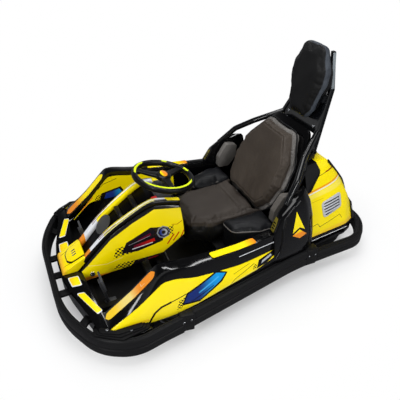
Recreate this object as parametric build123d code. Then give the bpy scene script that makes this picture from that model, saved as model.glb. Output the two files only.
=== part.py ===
"""Drift kart with a bumper ring, twin footwells, steered front wheels and a high headrest.

Millimetres. +X is forward, +Y is left, +Z is up, and the floor is z = 0.
"""
import math
import os

from build123d import *

UP = (0, 0, 1)
CORNERS = ((-1, -1), (1, -1), (1, 1), (-1, 1))

# Driving dimensions of the ring
RING_HALF_LENGTH = 934.0
RING_LOW = 73.0
RING_TOP = 187.0
FRONT_RING_WALL = 32.0
SIDE_RING_WALL = 45.0
REAR_RING_WALL = 45.0
REAR_RING_TOP = 150.0
RING_EDGE = 10.0

# Driving dimensions of the running gear
FRONT_OVERHANG = 504.0
REAR_OVERHANG = 304.0
FRONT_AXLE_X = RING_HALF_LENGTH - FRONT_OVERHANG
REAR_AXLE_X = REAR_OVERHANG - RING_HALF_LENGTH
FRONT_TYRE_R = 120.0
FRONT_TYRE_WIDTH = 95.0
FRONT_WHEEL_Y = 430.0
REAR_TYRE_R = 135.0
REAR_TYRE_WIDTH = 120.0
REAR_WHEEL_Y = 250.0
RIM_R = 65.0
KINGPIN_Y = 335.0
KINGPIN_R = 6.0
SPINDLE_R = 8.5
SHAFT_R = 15.0
RUN_FIT = 0.05
YOKE_LOW = 80.0
YOKE_TOP = 165.0
YOKE_PLATE = 10.0
ARM_DX = -110.0
ARM_LOW = 132.0
ARM_THICK = 8.0
PIN_R = 5.0

# Driving dimensions of the seat, whose origin is the foot of its back
SEAT_X = -200.0
SEAT_FRONT_X = SEAT_X + 395.0
TRAY_FRONT_X = SEAT_X + 260.0
TRAY_NOSE_HALF = 100.0
SEAT_TRAY = 8.0
SEAT_TRAY_LOW = 200.0
SEAT_TRAY_HALF = 335.0
CUSHION_HALF = 182.0
CUSHION_NOSE_HALF = 112.0
CUSHION_TOP = 358.0
BACK_FOOT = (SEAT_X, 0.0, 330.0)
BACK_RECLINE = 26.8
BACK_THICK = 75.0

# Driving dimensions of the chassis
NOSE_X = RING_HALF_LENGTH - 62.0
POD_FRONT_X = NOSE_X - 130.0
TUBE = 30.0
PAN_LOW = RING_LOW
PAN_THICK = 4.0
FRAME_LOW = PAN_LOW + PAN_THICK
FRAME_TOP = FRAME_LOW + TUBE
RAIL_Y = 270.0
REAR_RAIL_Y = 170.0
TAIL_TUBE_HALF = 285.0
NOSE_TUBE_X = POD_FRONT_X + 3.0
SEAT_TUBE_X = (SEAT_X + 230.0, SEAT_X + 10.0)
SEAT_POST_Y = 150.0
BACK_TUBE_X = REAR_AXLE_X + 200.0
TAIL_TUBE_X = REAR_AXLE_X - 175.0
OUTRIGGER_X = (FRONT_AXLE_X - 330.0, REAR_AXLE_X + 370.0)
FRONT_SPLIT_X = FRONT_AXLE_X - 45.0
REAR_SPLIT_X = BACK_TUBE_X
FRONT_BAR_WIDTH = 40.0
FRONT_BAR_LOW = 138.0
FRONT_BAR_THICK = 14.0
BATTERY_LOW = 229.0
BATTERY_TOP = 420.0
BATTERY_STRAP = 10.0

# Driving dimensions of the steering
WHEEL_CENTRE = (FRONT_AXLE_X - 164.0, 0.0, 602.5)
WHEEL_TILT = 12.0
WHEEL_RING_R = 150.0
WHEEL_GRIP_R = 15.0
COLUMN_R = 10.0
COLUMN_FOOT_Z = 133.0
LOW_BEARING = 70.0
HIGH_BEARING_BELOW_WHEEL = 193.0
SPINE_THICK = 14.0
BEARING_WALL = 8.0
BEARING_LENGTH = 40.0
SUPPORT_THICK = 24.0
SUPPORT_POST_Y = 62.0
PITMAN_LENGTH = 66.0
PITMAN_THICK = 8.0
OPEN_EYE_R = 13.0
EYE_R = 19.0
EYE_THICK = 10.0
EYE_GAP = 5.0

# Driving dimensions of the bodywork
SHEET = 4.0
FAIRING_LOW = FRAME_TOP
FAIRING_TOP = 205.0
LEDGE_THICK = 22.0
SKIRT_LOW = 128.0
SKIRT_TOP = 200.0
SKIRT_WALL = 14.0
TAIL_HALF = 130.0
COVER_FRONT_X = REAR_AXLE_X + 185.0
COWL_RAIL_WIDTH = 40.0
COWL_RAIL_HEIGHT = 25.0

# Driving dimensions of the headrest frame
LEG_Y = 18.0
LEG_ROOM = 8.0
SIDE_TUBE_R = 16.0
BELT_Z = 655.0
BELT_BOSS = 40.0
BELT_HOLE_R = 6.5
LAMP_PLATE_HALF = 88.0
LAMP_PLATE_THICK = 12.0
LAMP_PLATE_Z = (1050.0, 1096.0)
PANEL_Z = (735.0, 930.0)
PANEL_THICK = 14.0
LAMP_HOLE_Y = 50.0
LAMP_HOLE_R = 4.25
PAD_FACE = (REAR_AXLE_X + 74.0, 0.0, 1000.0)
PAD_RECLINE = 9.0
PAD_THICK = 50.0

# Left-hand halves of the plan outlines: x, y, corner radius
RING_PLAN = (
    (RING_HALF_LENGTH, 285.0, 700.0),
    (RING_HALF_LENGTH - 121.0, 528.5, 300.0),
    (RING_HALF_LENGTH - 281.3, 611.7, 230.0),
    (REAR_AXLE_X + 277.0, 440.0, 1500.0),
    (134.0 - RING_HALF_LENGTH, 432.0, 180.0),
    (-RING_HALF_LENGTH, 290.0, 250.0),
)
FAIRING_OUTER = (
    (NOSE_X, 70.0, 60.0),
    (NOSE_X - 20.0, 190.0, 60.0),
    (NOSE_X - 72.0, 400.0, 80.0),
    (NOSE_X - 87.0, 512.0, 25.0),
    (POD_FRONT_X, 512.0, 4.0),
)
FAIRING_INNER = (
    (POD_FRONT_X, 400.0, 12.0),
    (POD_FRONT_X + 22.0, 160.0, 40.0),
    (POD_FRONT_X + 30.0, 60.0, 40.0),
)
LEDGE_PLAN = (
    (POD_FRONT_X + 48.0, 430.0, 0.0),
    (POD_FRONT_X + 88.0, 500.0, 0.0),
    (POD_FRONT_X - 42.0, 590.0, 0.0),
    (FRONT_AXLE_X + 125.0, 570.0, 0.0),
    (FRONT_AXLE_X + 125.0, 522.0, 8.0),
    (POD_FRONT_X, 500.0, 0.0),
)
SKIRT_PLAN = (
    (COVER_FRONT_X, 368.0, 6.0),
    (REAR_AXLE_X - 105.0, 344.0, 60.0),
    (REAR_AXLE_X - 182.0, 311.0, 30.0),
)
# Front bars on the left half: x and y inside the fairing, and turn about the vertical
FRONT_BARS = ((NOSE_X - 50.0, 0.0, 0.0), (NOSE_X - 58.0, 140.0, 0.0), (NOSE_X - 92.0, 322.0, 44.0))

# Left pod stations: x, then y, z of inner foot, inner top, outer top, shoulder, outer foot
POD_STATIONS = (
    (POD_FRONT_X, (405, 187), (405, 203), (480, 203), (503, 199), (512, 187)),
    (FRONT_AXLE_X + 170, (407, 285), (415, 312), (482, 312), (506, 286), (527, 187)),
    (FRONT_AXLE_X + 50, (402, 290), (424, 424), (486, 424), (503, 378), (533, 187)),
    (FRONT_AXLE_X + 10, (401, 290), (426, 433), (487, 433), (503, 384), (532, 187)),
    (FRONT_AXLE_X - 30, (400, 290), (426, 428), (486, 427), (502, 378), (531, 187)),
    (FRONT_AXLE_X - 130, (398, 285), (422, 408), (482, 405), (497, 345), (523, 187)),
    (SEAT_X + 260, (385, 225), (405, 388), (458, 386), (470, 300), (484, 187)),
    (SEAT_X + 40, (SEAT_TRAY_HALF + 30, 225), (SEAT_TRAY_HALF + 50, 380), (SEAT_TRAY_HALF + 93, 378),
     (SEAT_TRAY_HALF + 101, 290), (SEAT_TRAY_HALF + 111, 187)),
)
# Left hip guard stations: x, then y outside the seat tray, z of inner foot, inner top, outer top, outer foot
GUARD_STATIONS = (
    (SEAT_X + 40, (30, 225), (50, 380), (93, 378), (111, 187)),
    (SEAT_X, (17, 225), (37, 462), (73, 458), (106, 187)),
    (SEAT_X - 90, (3, 225), (10, 532), (51, 526), (92, 187)),
    (SEAT_X - 265, (-23, 225), (-23, 579), (7, 573), (74, 187)),
)
# Rear edge of the hip guard in side view: x, z, corner radius
GUARD_EDGE = ((SEAT_X - 150, 640, 0), (SEAT_X - 172, 575, 90), (SEAT_X - 232, 450, 260),
              (SEAT_X - 252, 300, 260), (SEAT_X - 256, 150, 0))
# Left rear cover stations: x, then y, z of crown edge, shoulder, fold, foot
COVER_STATIONS = (
    (COVER_FRONT_X, (TAIL_HALF, 611), (237, 611), (302, 440), (364, SKIRT_TOP)),
    (REAR_AXLE_X + 30, (TAIL_HALF, 611), (232, 611), (292, 440), (352, SKIRT_TOP)),
    (REAR_AXLE_X - 105, (TAIL_HALF, 452), (225, 452), (280, 400), (340, SKIRT_TOP)),
    (REAR_AXLE_X - 175, (TAIL_HALF, 315), (215, 315), (268, 290), (310, SKIRT_TOP)),
)
# Cowl stations: x, half-width and height of the foot, half-width and height of the deck
COWL_STATIONS = (
    (NOSE_X - 100, 100.0, 140.0, 88.0, 212.0),
    (NOSE_X - 137, 106.0, 150.0, 86.0, 250.0),
    (FRONT_AXLE_X + 170, 132.0, 182.0, 95.0, 385.0),
    (FRONT_AXLE_X + 50, 155.0, 210.0, 108.0, 465.0),
    (FRONT_AXLE_X - 60, 172.0, 238.0, 120.0, 520.0),
    (FRONT_AXLE_X - 200, 180.0, 340.0, 130.0, 495.0),
)
# Headrest frame leg stations, horizontal cuts: z, x, y, depth along x
LEG_STATIONS = (
    (FRAME_TOP, REAR_AXLE_X + 200, 262.0, 50.0),
    (430.0, REAR_AXLE_X + 190, 236.0, 44.0),
    (955.0, REAR_AXLE_X - 18, 110.0, 28.0),
    (1145.0, REAR_AXLE_X - 12, 80.0, 18.0),
)
# Route of the left side tube from the hip guard up to the leg
SIDE_TUBE = (
    (SEAT_X - 50, 372.0, 505.0),
    (SEAT_X - 137, 328.0, 603.0),
    (SEAT_X - 220, 252.0, 672.0),
    (REAR_AXLE_X + 70, 158.0, 748.0),
)
# Right-hand corners of the seat back, its board and the headrest pad: across, up, corner radius
# Both are taken from the foot of the back or the middle of the pad's face
BACK_OUTLINE = ((150, 0, 30), (246, 190, 60), (232, 330, 60), (126, 500, 40))
BOARD_OUTLINE = ((110, -120, 20), (170, 200, 40), (100, 440, 40))
PAD_OUTLINE = ((60, -204, 25), (98, -150, 40), (137, 0, 60), (132, 60, 60), (78, 152, 45))


def corner_edges(corners, closed):
    """Lines and tangent arcs through (point, radius) corners."""
    count = len(corners)
    cuts = []
    for i, (point, radius) in enumerate(corners):
        inside = closed or 0 < i < count - 1
        if radius <= 0 or not inside:
            cuts.append((point, None, point))
            continue
        back = (corners[i - 1][0] - point).normalized()
        ahead = (corners[(i + 1) % count][0] - point).normalized()
        half = math.radians(back.get_angle(ahead)) / 2
        run = radius / math.tan(half)
        middle = (back + ahead).normalized() * (radius / math.sin(half) - radius)
        cuts.append((point + back * run, point + middle, point + ahead * run))
    edges = []
    for i, (start, middle, end) in enumerate(cuts):
        if middle is not None:
            edges.append(Edge.make_three_point_arc(start, middle, end))
        if i + 1 < count or closed:
            following = cuts[(i + 1) % count][0]
            if (following - end).length > 1e-6:
                edges.append(Edge.make_line(end, following))
    return edges


def rounded_face(points, plane=Plane.XY):
    """Flat face with (a, b, radius) corners in the given plane."""
    corners = [(plane.from_local_coords(Vector(a, b, 0)), r) for a, b, r in points]
    return Face(Wire(corner_edges(corners, True)))


def rod(points, bend, radius):
    """Round bar along a 3-D route of straight runs and tangent bends."""
    path = Wire(corner_edges([(Vector(*p), bend) for p in points], False))
    start = Plane(origin=path @ 0, z_dir=path % 0)
    return sweep(start * Circle(radius), path=path)


def both_halves(plan):
    """Mirror a left-hand half outline into a closed list of corners."""
    return list(plan) + [(x, -y, r) for x, y, r in reversed(plan)]


def box(x0, x1, y0, y1, z0, z1):
    """Box between two corners."""
    size = (abs(x1 - x0), abs(y1 - y0), abs(z1 - z0))
    return Pos((x0 + x1) / 2, (y0 + y1) / 2, (z0 + z1) / 2) * Box(*size)


def mirrored(shape):
    """Right-hand twin of a left-hand shape."""
    return mirror(shape, about=Plane.XZ)


def inset(points, thick):
    """Points moved to the right of the direction of travel, with mitred corners."""
    moved = []
    normals = []
    for (a0, b0), (a1, b1) in zip(points, points[1:]):
        length = math.hypot(a1 - a0, b1 - b0)
        normals.append(((b1 - b0) / length, (a0 - a1) / length))
    for i, (a, b) in enumerate(points):
        one = normals[max(i - 1, 0)]
        two = normals[min(i, len(normals) - 1)]
        scale = thick / (1 + one[0] * two[0] + one[1] * two[1])
        moved.append((a + (one[0] + two[0]) * scale, b + (one[1] + two[1]) * scale))
    # End edges are cut level with the outline's own ends
    for end, near in ((0, 1), (-1, -2)):
        rise = points[end][1] - points[near][1]
        if abs(rise) > 1e-6:
            run = (points[end][0] - points[near][0]) * (points[end][1] - moved[end][1]) / rise
            moved[end] = (moved[end][0] + run, points[end][1])
    return moved


def station_face(x, points):
    """Polygon of (y, z) points standing at one x."""
    return Face(Wire.make_polygon([Vector(x, y, z) for y, z in points], close=True))


def sheet_loft(stations, first, last, thick=SHEET):
    """Ruled sheet through part of the outline at each station."""
    faces = []
    for x, points in stations:
        inner = inset(points, thick)
        ring = list(points[first:last + 1]) + list(reversed(inner[first:last + 1]))
        faces.append(station_face(x, ring))
    return loft(faces, ruled=True)


def turned(points, plane):
    """Solid of revolution about the local Z of a plane from (radius, height) points."""
    profile = Face(Wire.make_polygon([Vector(r, 0, h) for r, h in points], close=True))
    return plane * revolve(profile, axis=Axis.Z)


def save(name, shape):
    """Write one node."""
    export_step(shape, f"parts/{name}.step")


def side_plane(x, y, z, outward):
    """Plane at a wheel centre, its Z pointing out of the kart."""
    return Plane(origin=(x, y, z), x_dir=(1, 0, 0), z_dir=(0, outward, 0))


os.makedirs("parts", exist_ok=True)
half_tube = TUBE / 2
reach = 2 * RING_HALF_LENGTH

# Bumper ring in four pieces
ring_outline = rounded_face(both_halves(RING_PLAN))


def ring_with_wall(wall, top=RING_TOP):
    """Ring of one wall width, with eased edges."""
    hole = offset(ring_outline, amount=-wall)
    band = extrude(ring_outline - hole, amount=top - RING_LOW)
    levels = band.edges().group_by(Axis.Z)
    band = fillet(levels[-1] + levels[0], RING_EDGE)
    return Pos(0, 0, RING_LOW) * band


def ring_half_width(x):
    """Half-width of the ring along its straight sides."""
    (xa, ya, _), (xb, yb, _) = RING_PLAN[2:4]
    return ya + (yb - ya) * (xa - x) / (xa - xb)


front_bumper = ring_with_wall(FRONT_RING_WALL) & box(FRONT_SPLIT_X, reach, -reach, reach, 0, reach)
side_ring = ring_with_wall(SIDE_RING_WALL)
side_bumper_left = side_ring & box(REAR_SPLIT_X, FRONT_SPLIT_X, 0, reach, 0, reach)
rear_ring = ring_with_wall(REAR_RING_WALL, REAR_RING_TOP)
rear_bumper = rear_ring & box(-reach, REAR_SPLIT_X, -reach, reach, 0, reach)
bumpers = [front_bumper, side_bumper_left, mirrored(side_bumper_left), rear_bumper]

# Steering axes
tilt = math.radians(WHEEL_TILT)
column_axis = Vector(-math.sin(tilt), 0, math.cos(tilt))
across = Vector(math.cos(tilt), 0, math.sin(tilt))
wheel_plane = Plane(origin=WHEEL_CENTRE, x_dir=across, z_dir=column_axis)
column_length = (WHEEL_CENTRE[2] - COLUMN_FOOT_Z) / column_axis.Z
column_foot = Vector(*WHEEL_CENTRE) - column_axis * column_length
foot_plane = Plane(origin=column_foot, x_dir=across, z_dir=column_axis)
bearing_points = [
    column_foot + column_axis * LOW_BEARING,
    Vector(*WHEEL_CENTRE) - column_axis * HIGH_BEARING_BELOW_WHEEL,
]

# Chassis frame of square tube: long rails, then cross tubes between and across them
rail_in = RAIL_Y - half_tube
rail_out = RAIL_Y + half_tube
frame_rails = []
for side in (1, -1):
    for y, back, front in ((RAIL_Y, BACK_TUBE_X, NOSE_TUBE_X), (REAR_RAIL_Y, TAIL_TUBE_X, BACK_TUBE_X)):
        yc = side * y
        rail = box(back + half_tube, front - half_tube, yc - half_tube, yc + half_tube, FRAME_LOW, FRAME_TOP)
        frame_rails.append(rail)
cross_tubes = []
tubes = [(NOSE_TUBE_X, TUBE, rail_out), (BACK_TUBE_X, TUBE, rail_out), (TAIL_TUBE_X, TUBE, TAIL_TUBE_HALF)]
tubes += [(x, TUBE, rail_in) for x in SEAT_TUBE_X]
tubes += [(bearing_points[0].X, SUPPORT_THICK, rail_in)]
for x, width, half in tubes:
    cross_tubes.append(box(x - width / 2, x + width / 2, -half, half, FRAME_LOW, FRAME_TOP))

# Outriggers that carry the ring's sides and tail, and the hangers of the skirt
outriggers = []
hanger_x = SKIRT_PLAN[-1][0] + SKIRT_WALL
for side in (1, -1):
    for x in OUTRIGGER_X:
        y0, y1 = sorted((side * rail_out, side * (ring_half_width(x) - SIDE_RING_WALL / 2)))
        outriggers.append(box(x - half_tube, x + half_tube, y0, y1, FRAME_LOW, FRAME_TOP))
    yc = side * REAR_RAIL_Y
    tail_end = REAR_RING_WALL / 2 - RING_HALF_LENGTH
    tail_y = (yc - half_tube, yc + half_tube)
    outriggers.append(box(tail_end, TAIL_TUBE_X - half_tube, *tail_y, FRAME_LOW, FRAME_TOP))
    yc = side * (REAR_RAIL_Y + TUBE + half_tube)
    hanger_y = (yc - half_tube, yc + half_tube)
    outriggers.append(box(hanger_x, TAIL_TUBE_X + half_tube, *hanger_y, FRAME_TOP, SKIRT_LOW + TUBE))
outriggers = [piece - bumpers[3] - bumpers[1] - bumpers[2] for piece in outriggers]

# Posts under the seat tray and stands under the battery
seat_posts = []
battery_stand = []
stand_x = (REAR_AXLE_X + 140.0, REAR_AXLE_X - 70.0)
for side in (1, -1):
    yc = side * SEAT_POST_Y
    for x in SEAT_TUBE_X:
        post = box(x - half_tube, x + half_tube, yc - half_tube, yc + half_tube, FRAME_TOP, SEAT_TRAY_LOW)
        seat_posts.append(post)
    y0, y1 = sorted((side * (REAR_RAIL_Y - half_tube), side * (REAR_RAIL_Y + half_tube)))
    strap_low = BATTERY_LOW - BATTERY_STRAP
    stand = box(stand_x[1] - half_tube, stand_x[0] + half_tube, y0, y1, strap_low, BATTERY_LOW)
    for x in stand_x:
        stand += box(x - half_tube, x + half_tube, y0, y1, FRAME_TOP, BATTERY_LOW)
    battery_stand.append(stand)

# Column support: a low bearing sleeve on two posts, and a high one carried from it by a spine
bearing_r = COLUMN_R + BEARING_WALL
half_support = SUPPORT_THICK / 2
column_bore = foot_plane * Cylinder(COLUMN_R + RUN_FIT, 4 * column_length)
low_point = bearing_points[0]
post_x = (low_point.X - half_support, low_point.X + half_support)
post_top = low_point.Z + half_support
column_support = box(*post_x, -SUPPORT_POST_Y, SUPPORT_POST_Y, low_point.Z - half_support, post_top)
for side in (1, -1):
    y0, y1 = sorted((side * SUPPORT_POST_Y, side * (SUPPORT_POST_Y - SUPPORT_THICK)))
    column_support += box(*post_x, y0, y1, FRAME_TOP, post_top)
for point in bearing_points:
    sleeve_plane = Plane(origin=point, x_dir=across, z_dir=column_axis)
    column_support += sleeve_plane * Cylinder(bearing_r, BEARING_LENGTH)
high_bearing = column_length - HIGH_BEARING_BELOW_WHEEL
spine = box(bearing_r - 4, bearing_r - 4 + SPINE_THICK, -half_support, half_support,
            LOW_BEARING - BEARING_LENGTH / 2, high_bearing + BEARING_LENGTH / 2)
column_support += foot_plane * spine
column_support -= column_bore

# Floor pan under the frame
floor_pan = box(BACK_TUBE_X - half_tube, NOSE_TUBE_X + half_tube, -rail_out, rail_out, PAN_LOW, FRAME_LOW)

# Front fairing round the two footwells, with a ledge at each corner
fairing_half = FAIRING_OUTER + FAIRING_INNER
fairing_mirror = [(x, -y, r) for x, y, r in FAIRING_INNER[::-1] + FAIRING_OUTER[::-1]]
fairing_face = rounded_face(list(fairing_half) + fairing_mirror)
front_fairing = Pos(0, 0, FAIRING_LOW) * extrude(fairing_face, amount=FAIRING_TOP - FAIRING_LOW, dir=UP)
ledge = Pos(0, 0, RING_TOP - LEDGE_THICK) * extrude(rounded_face(LEDGE_PLAN), amount=LEDGE_THICK, dir=UP)
ring_room = extrude(offset(ring_outline, amount=-FRONT_RING_WALL), amount=RING_TOP, dir=UP)
ledge &= ring_room
front_fairing += ledge
front_fairing += mirrored(ledge)
front_fairing -= front_bumper

# Flat bars between the fairing and the front of the ring
front_bars = []
bar_length = RING_HALF_LENGTH - POD_FRONT_X
for x, y, turn in FRONT_BARS:
    bar = Box(bar_length, FRONT_BAR_WIDTH, FRONT_BAR_THICK, align=(Align.MIN, Align.CENTER, Align.MIN))
    bar = Pos(x, y, FRONT_BAR_LOW) * (Rot(0, 0, turn) * bar)
    bar &= ring_room
    bar -= front_fairing
    front_bars.append(bar)
    if y > 0:
        front_bars.append(mirrored(bar))

# Nose block on the fairing
nose_profile = rounded_face(
    ((NOSE_X - 6, FAIRING_TOP, 0), (NOSE_X - 14, 226, 14), (NOSE_X - 134, 288, 6),
     (NOSE_X - 134, 252, 0), (NOSE_X - 86, FAIRING_TOP, 0)), Plane.XZ)
nose_block = extrude(nose_profile, amount=80.0, both=True)

# Cowl over the steering
cowl_sections = []
for x, foot_y, foot_z, deck_y, deck_z in COWL_STATIONS:
    points = ((-foot_y, foot_z), (-deck_y, deck_z), (deck_y, deck_z), (foot_y, foot_z))
    cowl_sections.append((x, points))
cowl_side_right = sheet_loft(cowl_sections, 0, 1)
cowl_deck = sheet_loft(cowl_sections, 1, 2)
rail_faces = []
for x, foot_y, foot_z, deck_y, deck_z in COWL_STATIONS[1:]:
    outer = deck_y - 2
    inner = outer - COWL_RAIL_WIDTH
    top = deck_z + COWL_RAIL_HEIGHT
    corners = ((inner, deck_z), (outer, deck_z), (outer - 4, top), (inner + 4, top))
    rail_faces.append(station_face(x, corners))
cowl_rail_left = loft(rail_faces, ruled=True) - nose_block
cowl_deck -= nose_block
cowl_deck -= front_fairing
cowl_deck -= foot_plane * Cylinder(COLUMN_R + BEARING_WALL, 4 * column_length)
cowl_side_right -= nose_block
cowl_side_right -= front_fairing
cowl_side_left = mirrored(cowl_side_right)

# Blank number disc on the deck
disc_r = 34.0
disc_thick = 5.0
x0, deck0 = COWL_STATIONS[1][0], COWL_STATIONS[1][4]
x1, deck1 = COWL_STATIONS[2][0], COWL_STATIONS[2][4]
slope = math.atan2(deck1 - deck0, x0 - x1)
disc_x = x1 + 28.0
disc_z = deck0 + (x0 - disc_x) * math.tan(slope)
disc_plane = Plane(origin=(disc_x, 0, disc_z), x_dir=(-math.cos(slope), 0, math.sin(slope)),
                   z_dir=(math.sin(slope), 0, math.cos(slope)))
number_disc = disc_plane * (Pos(0, 0, disc_thick / 2) * Cylinder(disc_r, disc_thick))

# Side pods and hip guards
pod_sections = [(row[0], row[1:]) for row in POD_STATIONS]
pod_rail_left = sheet_loft(pod_sections, 0, 3)
pod_panel_left = sheet_loft(pod_sections, 3, 4)
guard_sections = []
for x, *points in GUARD_STATIONS:
    guard_sections.append((x, [(SEAT_TRAY_HALF + y, z) for y, z in points]))
hip_guard_left = sheet_loft(guard_sections, 0, 3)
behind = ((SEAT_X - 400, 150, 0), (SEAT_X - 400, 640, 0))
guard_cut = rounded_face(GUARD_EDGE + behind, Plane.XZ)
hip_guard_left -= extrude(guard_cut, amount=reach, both=True)

# Rear covers, tail and skirt
cover_sections = [(row[0], row[1:]) for row in COVER_STATIONS]
rear_cover_left = sheet_loft(cover_sections, 0, 3)
tail_points = [(row[0], row[1][1]) for row in COVER_STATIONS]
tail_inner = inset(tail_points[::-1], SHEET)[::-1]
tail_corners = [Vector(x, 0, z) for x, z in tail_points + tail_inner[::-1]]
tail_face = Face(Wire.make_polygon(tail_corners, close=True))
rear_tail = extrude(tail_face, amount=TAIL_HALF, both=True, dir=(0, 1, 0))
end_x, end_left = COVER_STATIONS[-1][0], list(COVER_STATIONS[-1][1:])
end_points = end_left + [(-y, z) for y, z in reversed(end_left)]
rear_tail += extrude(station_face(end_x, end_points), amount=SHEET, dir=(-1, 0, 0))
end_top = end_left[0][1]
rear_tail += box(end_x, end_x + 2 * SHEET, -TAIL_HALF, TAIL_HALF, end_top - 15, end_top + 10)
skirt_outer = rounded_face(both_halves(SKIRT_PLAN))
skirt_band = skirt_outer - offset(skirt_outer, amount=-SKIRT_WALL)
rear_skirt = Pos(0, 0, SKIRT_LOW) * extrude(skirt_band, amount=SKIRT_TOP - SKIRT_LOW, dir=UP)
skirt_open = SKIRT_PLAN[1][1] - 40
rear_skirt -= box(COVER_FRONT_X - SKIRT_WALL, COVER_FRONT_X + SKIRT_WALL, -skirt_open, skirt_open, 0, reach)

# Front axle beam with fork ends and king pins
beam_half = 18.0
beam_end = KINGPIN_Y - 35.0
yoke_half = beam_half + 2.0
yoke_end = KINGPIN_Y + 19.0
yoke_x = (FRONT_AXLE_X - yoke_half, FRONT_AXLE_X + yoke_half)
front_axle = box(FRONT_AXLE_X - beam_half, FRONT_AXLE_X + beam_half, -beam_end, beam_end,
                 FRAME_TOP, FRAME_TOP + 2 * beam_half)
pin_mid = (YOKE_LOW + YOKE_TOP) / 2
for side in (1, -1):
    y0, y1 = sorted((side * beam_end, side * (beam_end + YOKE_PLATE)))
    front_axle += box(*yoke_x, y0, y1, YOKE_LOW, YOKE_TOP)
    y0, y1 = sorted((side * beam_end, side * yoke_end))
    front_axle += box(*yoke_x, y0, y1, YOKE_LOW, YOKE_LOW + YOKE_PLATE)
    front_axle += box(*yoke_x, y0, y1, YOKE_TOP - YOKE_PLATE, YOKE_TOP)
    king_pin = Cylinder(KINGPIN_R, YOKE_TOP - YOKE_LOW + YOKE_PLATE)
    front_axle += Pos(FRONT_AXLE_X, side * KINGPIN_Y, pin_mid) * king_pin

# Left knuckle with spindle and steering arm
ON_BASE = (Align.CENTER, Align.CENTER, Align.MIN)
barrel_low = YOKE_LOW + YOKE_PLATE + 1
barrel_high = YOKE_TOP - YOKE_PLATE - 1
barrel_r = KINGPIN_R + 9.0
hub_plane = side_plane(FRONT_AXLE_X, KINGPIN_Y, FRONT_TYRE_R, 1)
barrel = Cylinder(barrel_r, barrel_high - barrel_low, align=ON_BASE)
knuckle_left = Pos(FRONT_AXLE_X, KINGPIN_Y, barrel_low) * barrel
spindle_out = FRONT_WHEEL_Y + FRONT_TYRE_WIDTH / 2 - 8
knuckle_left += hub_plane * Cylinder(SPINDLE_R, spindle_out - KINGPIN_Y, align=ON_BASE)
shoulder_y = FRONT_WHEEL_Y - FRONT_TYRE_WIDTH / 2 + 5
knuckle_left += hub_plane * Cylinder(SPINDLE_R + 5.5, shoulder_y - KINGPIN_Y, align=ON_BASE)
pin_x = FRONT_AXLE_X + ARM_DX
arm_half = PIN_R + 6.0
arm_end = pin_x + math.copysign(arm_half, ARM_DX)
arm_face = rounded_face(
    ((FRONT_AXLE_X, KINGPIN_Y - arm_half, 0), (arm_end, KINGPIN_Y - arm_half, 9),
     (arm_end, KINGPIN_Y + arm_half, 9), (FRONT_AXLE_X, KINGPIN_Y + arm_half, 0)))
knuckle_left += Pos(0, 0, ARM_LOW) * extrude(arm_face, amount=ARM_THICK, dir=UP)
pin_height = ARM_THICK + 1 + EYE_THICK + 4
knuckle_left += Pos(pin_x, KINGPIN_Y, ARM_LOW) * Cylinder(PIN_R, pin_height, align=ON_BASE)
knuckle_left -= Pos(FRONT_AXLE_X, KINGPIN_Y, pin_mid) * Cylinder(KINGPIN_R + RUN_FIT, YOKE_TOP)

# Tie rods from the knuckle arms to the pitman pin
eye_z = ARM_LOW + ARM_THICK + 1 + EYE_THICK / 2
pitman_tip = foot_plane.from_local_coords(Vector(-PITMAN_LENGTH, 0, 0))
tie_rod_r = 5.0


def tie_rod(side, level):
    """Rod with a close eye at the knuckle and an open eye at the pitman pin."""
    outer = Vector(pin_x, side * KINGPIN_Y, eye_z)
    inner = pitman_tip + column_axis * level
    heading = (inner - outer).normalized()
    tip_plane = Plane(origin=inner, x_dir=across, z_dir=column_axis)
    shape = rod((tuple(outer + heading * 9), tuple(inner - heading * (OPEN_EYE_R + 2))), 0, tie_rod_r)
    shape += tip_plane * Cylinder(EYE_R, EYE_THICK)
    shape += Pos(*outer) * Cylinder(PIN_R + 7, EYE_THICK)
    shape -= Pos(*outer) * Cylinder(PIN_R + RUN_FIT, 6 * EYE_THICK)
    shape -= tip_plane * Cylinder(OPEN_EYE_R, 6 * EYE_THICK)
    return shape


low_eye = PITMAN_THICK / 2 + EYE_GAP + EYE_THICK / 2
tie_rod_left = tie_rod(1, low_eye)
tie_rod_right = tie_rod(-1, low_eye + EYE_THICK + EYE_GAP)

# Steering column with its pitman arm and pin
column = Cylinder(COLUMN_R, column_length, align=ON_BASE)
pitman = Pos(-PITMAN_LENGTH / 2, 0, 0) * Box(PITMAN_LENGTH, 2 * COLUMN_R, PITMAN_THICK)
pitman += Cylinder(COLUMN_R + 6, PITMAN_THICK)
pitman_end = Pos(-PITMAN_LENGTH, 0, 0)
pitman += pitman_end * Cylinder(COLUMN_R, PITMAN_THICK)
pitman += pitman_end * Cylinder(PIN_R, low_eye + 2 * EYE_THICK + 3 * EYE_GAP, align=ON_BASE)
steering_column = foot_plane * (column + pitman)

# Steering wheel on the column
hub_r = 38.0
hub_half = 11.0
cap_thick = 6.0
hub = Cylinder(hub_r, 2 * hub_half)
for angle in (90.0, 210.0, 330.0):
    hub += Rot(0, 0, angle) * (Pos(WHEEL_RING_R / 2, 0, 0) * Box(WHEEL_RING_R, 2 * WHEEL_GRIP_R, 10))
hub -= Cylinder(COLUMN_R, 10 * hub_half)
cap = Pos(0, 0, hub_half) * Cylinder(hub_r, cap_thick, align=ON_BASE)
steering_wheel = wheel_plane * (Torus(WHEEL_RING_R, WHEEL_GRIP_R) + hub + cap)
steering_column -= wheel_plane * (Pos(0, 0, hub_half) * Cylinder(hub_r, column_length, align=ON_BASE))


def tyre(radius, width, plane):
    """Tyre with sloped shoulders and open bore."""
    half = width / 2
    edge = ((RIM_R, half), (radius - 16, half), (radius - 5, half - 9), (radius, half - 24))
    return turned(edge + tuple((r, -h) for r, h in reversed(edge)), plane)


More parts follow.
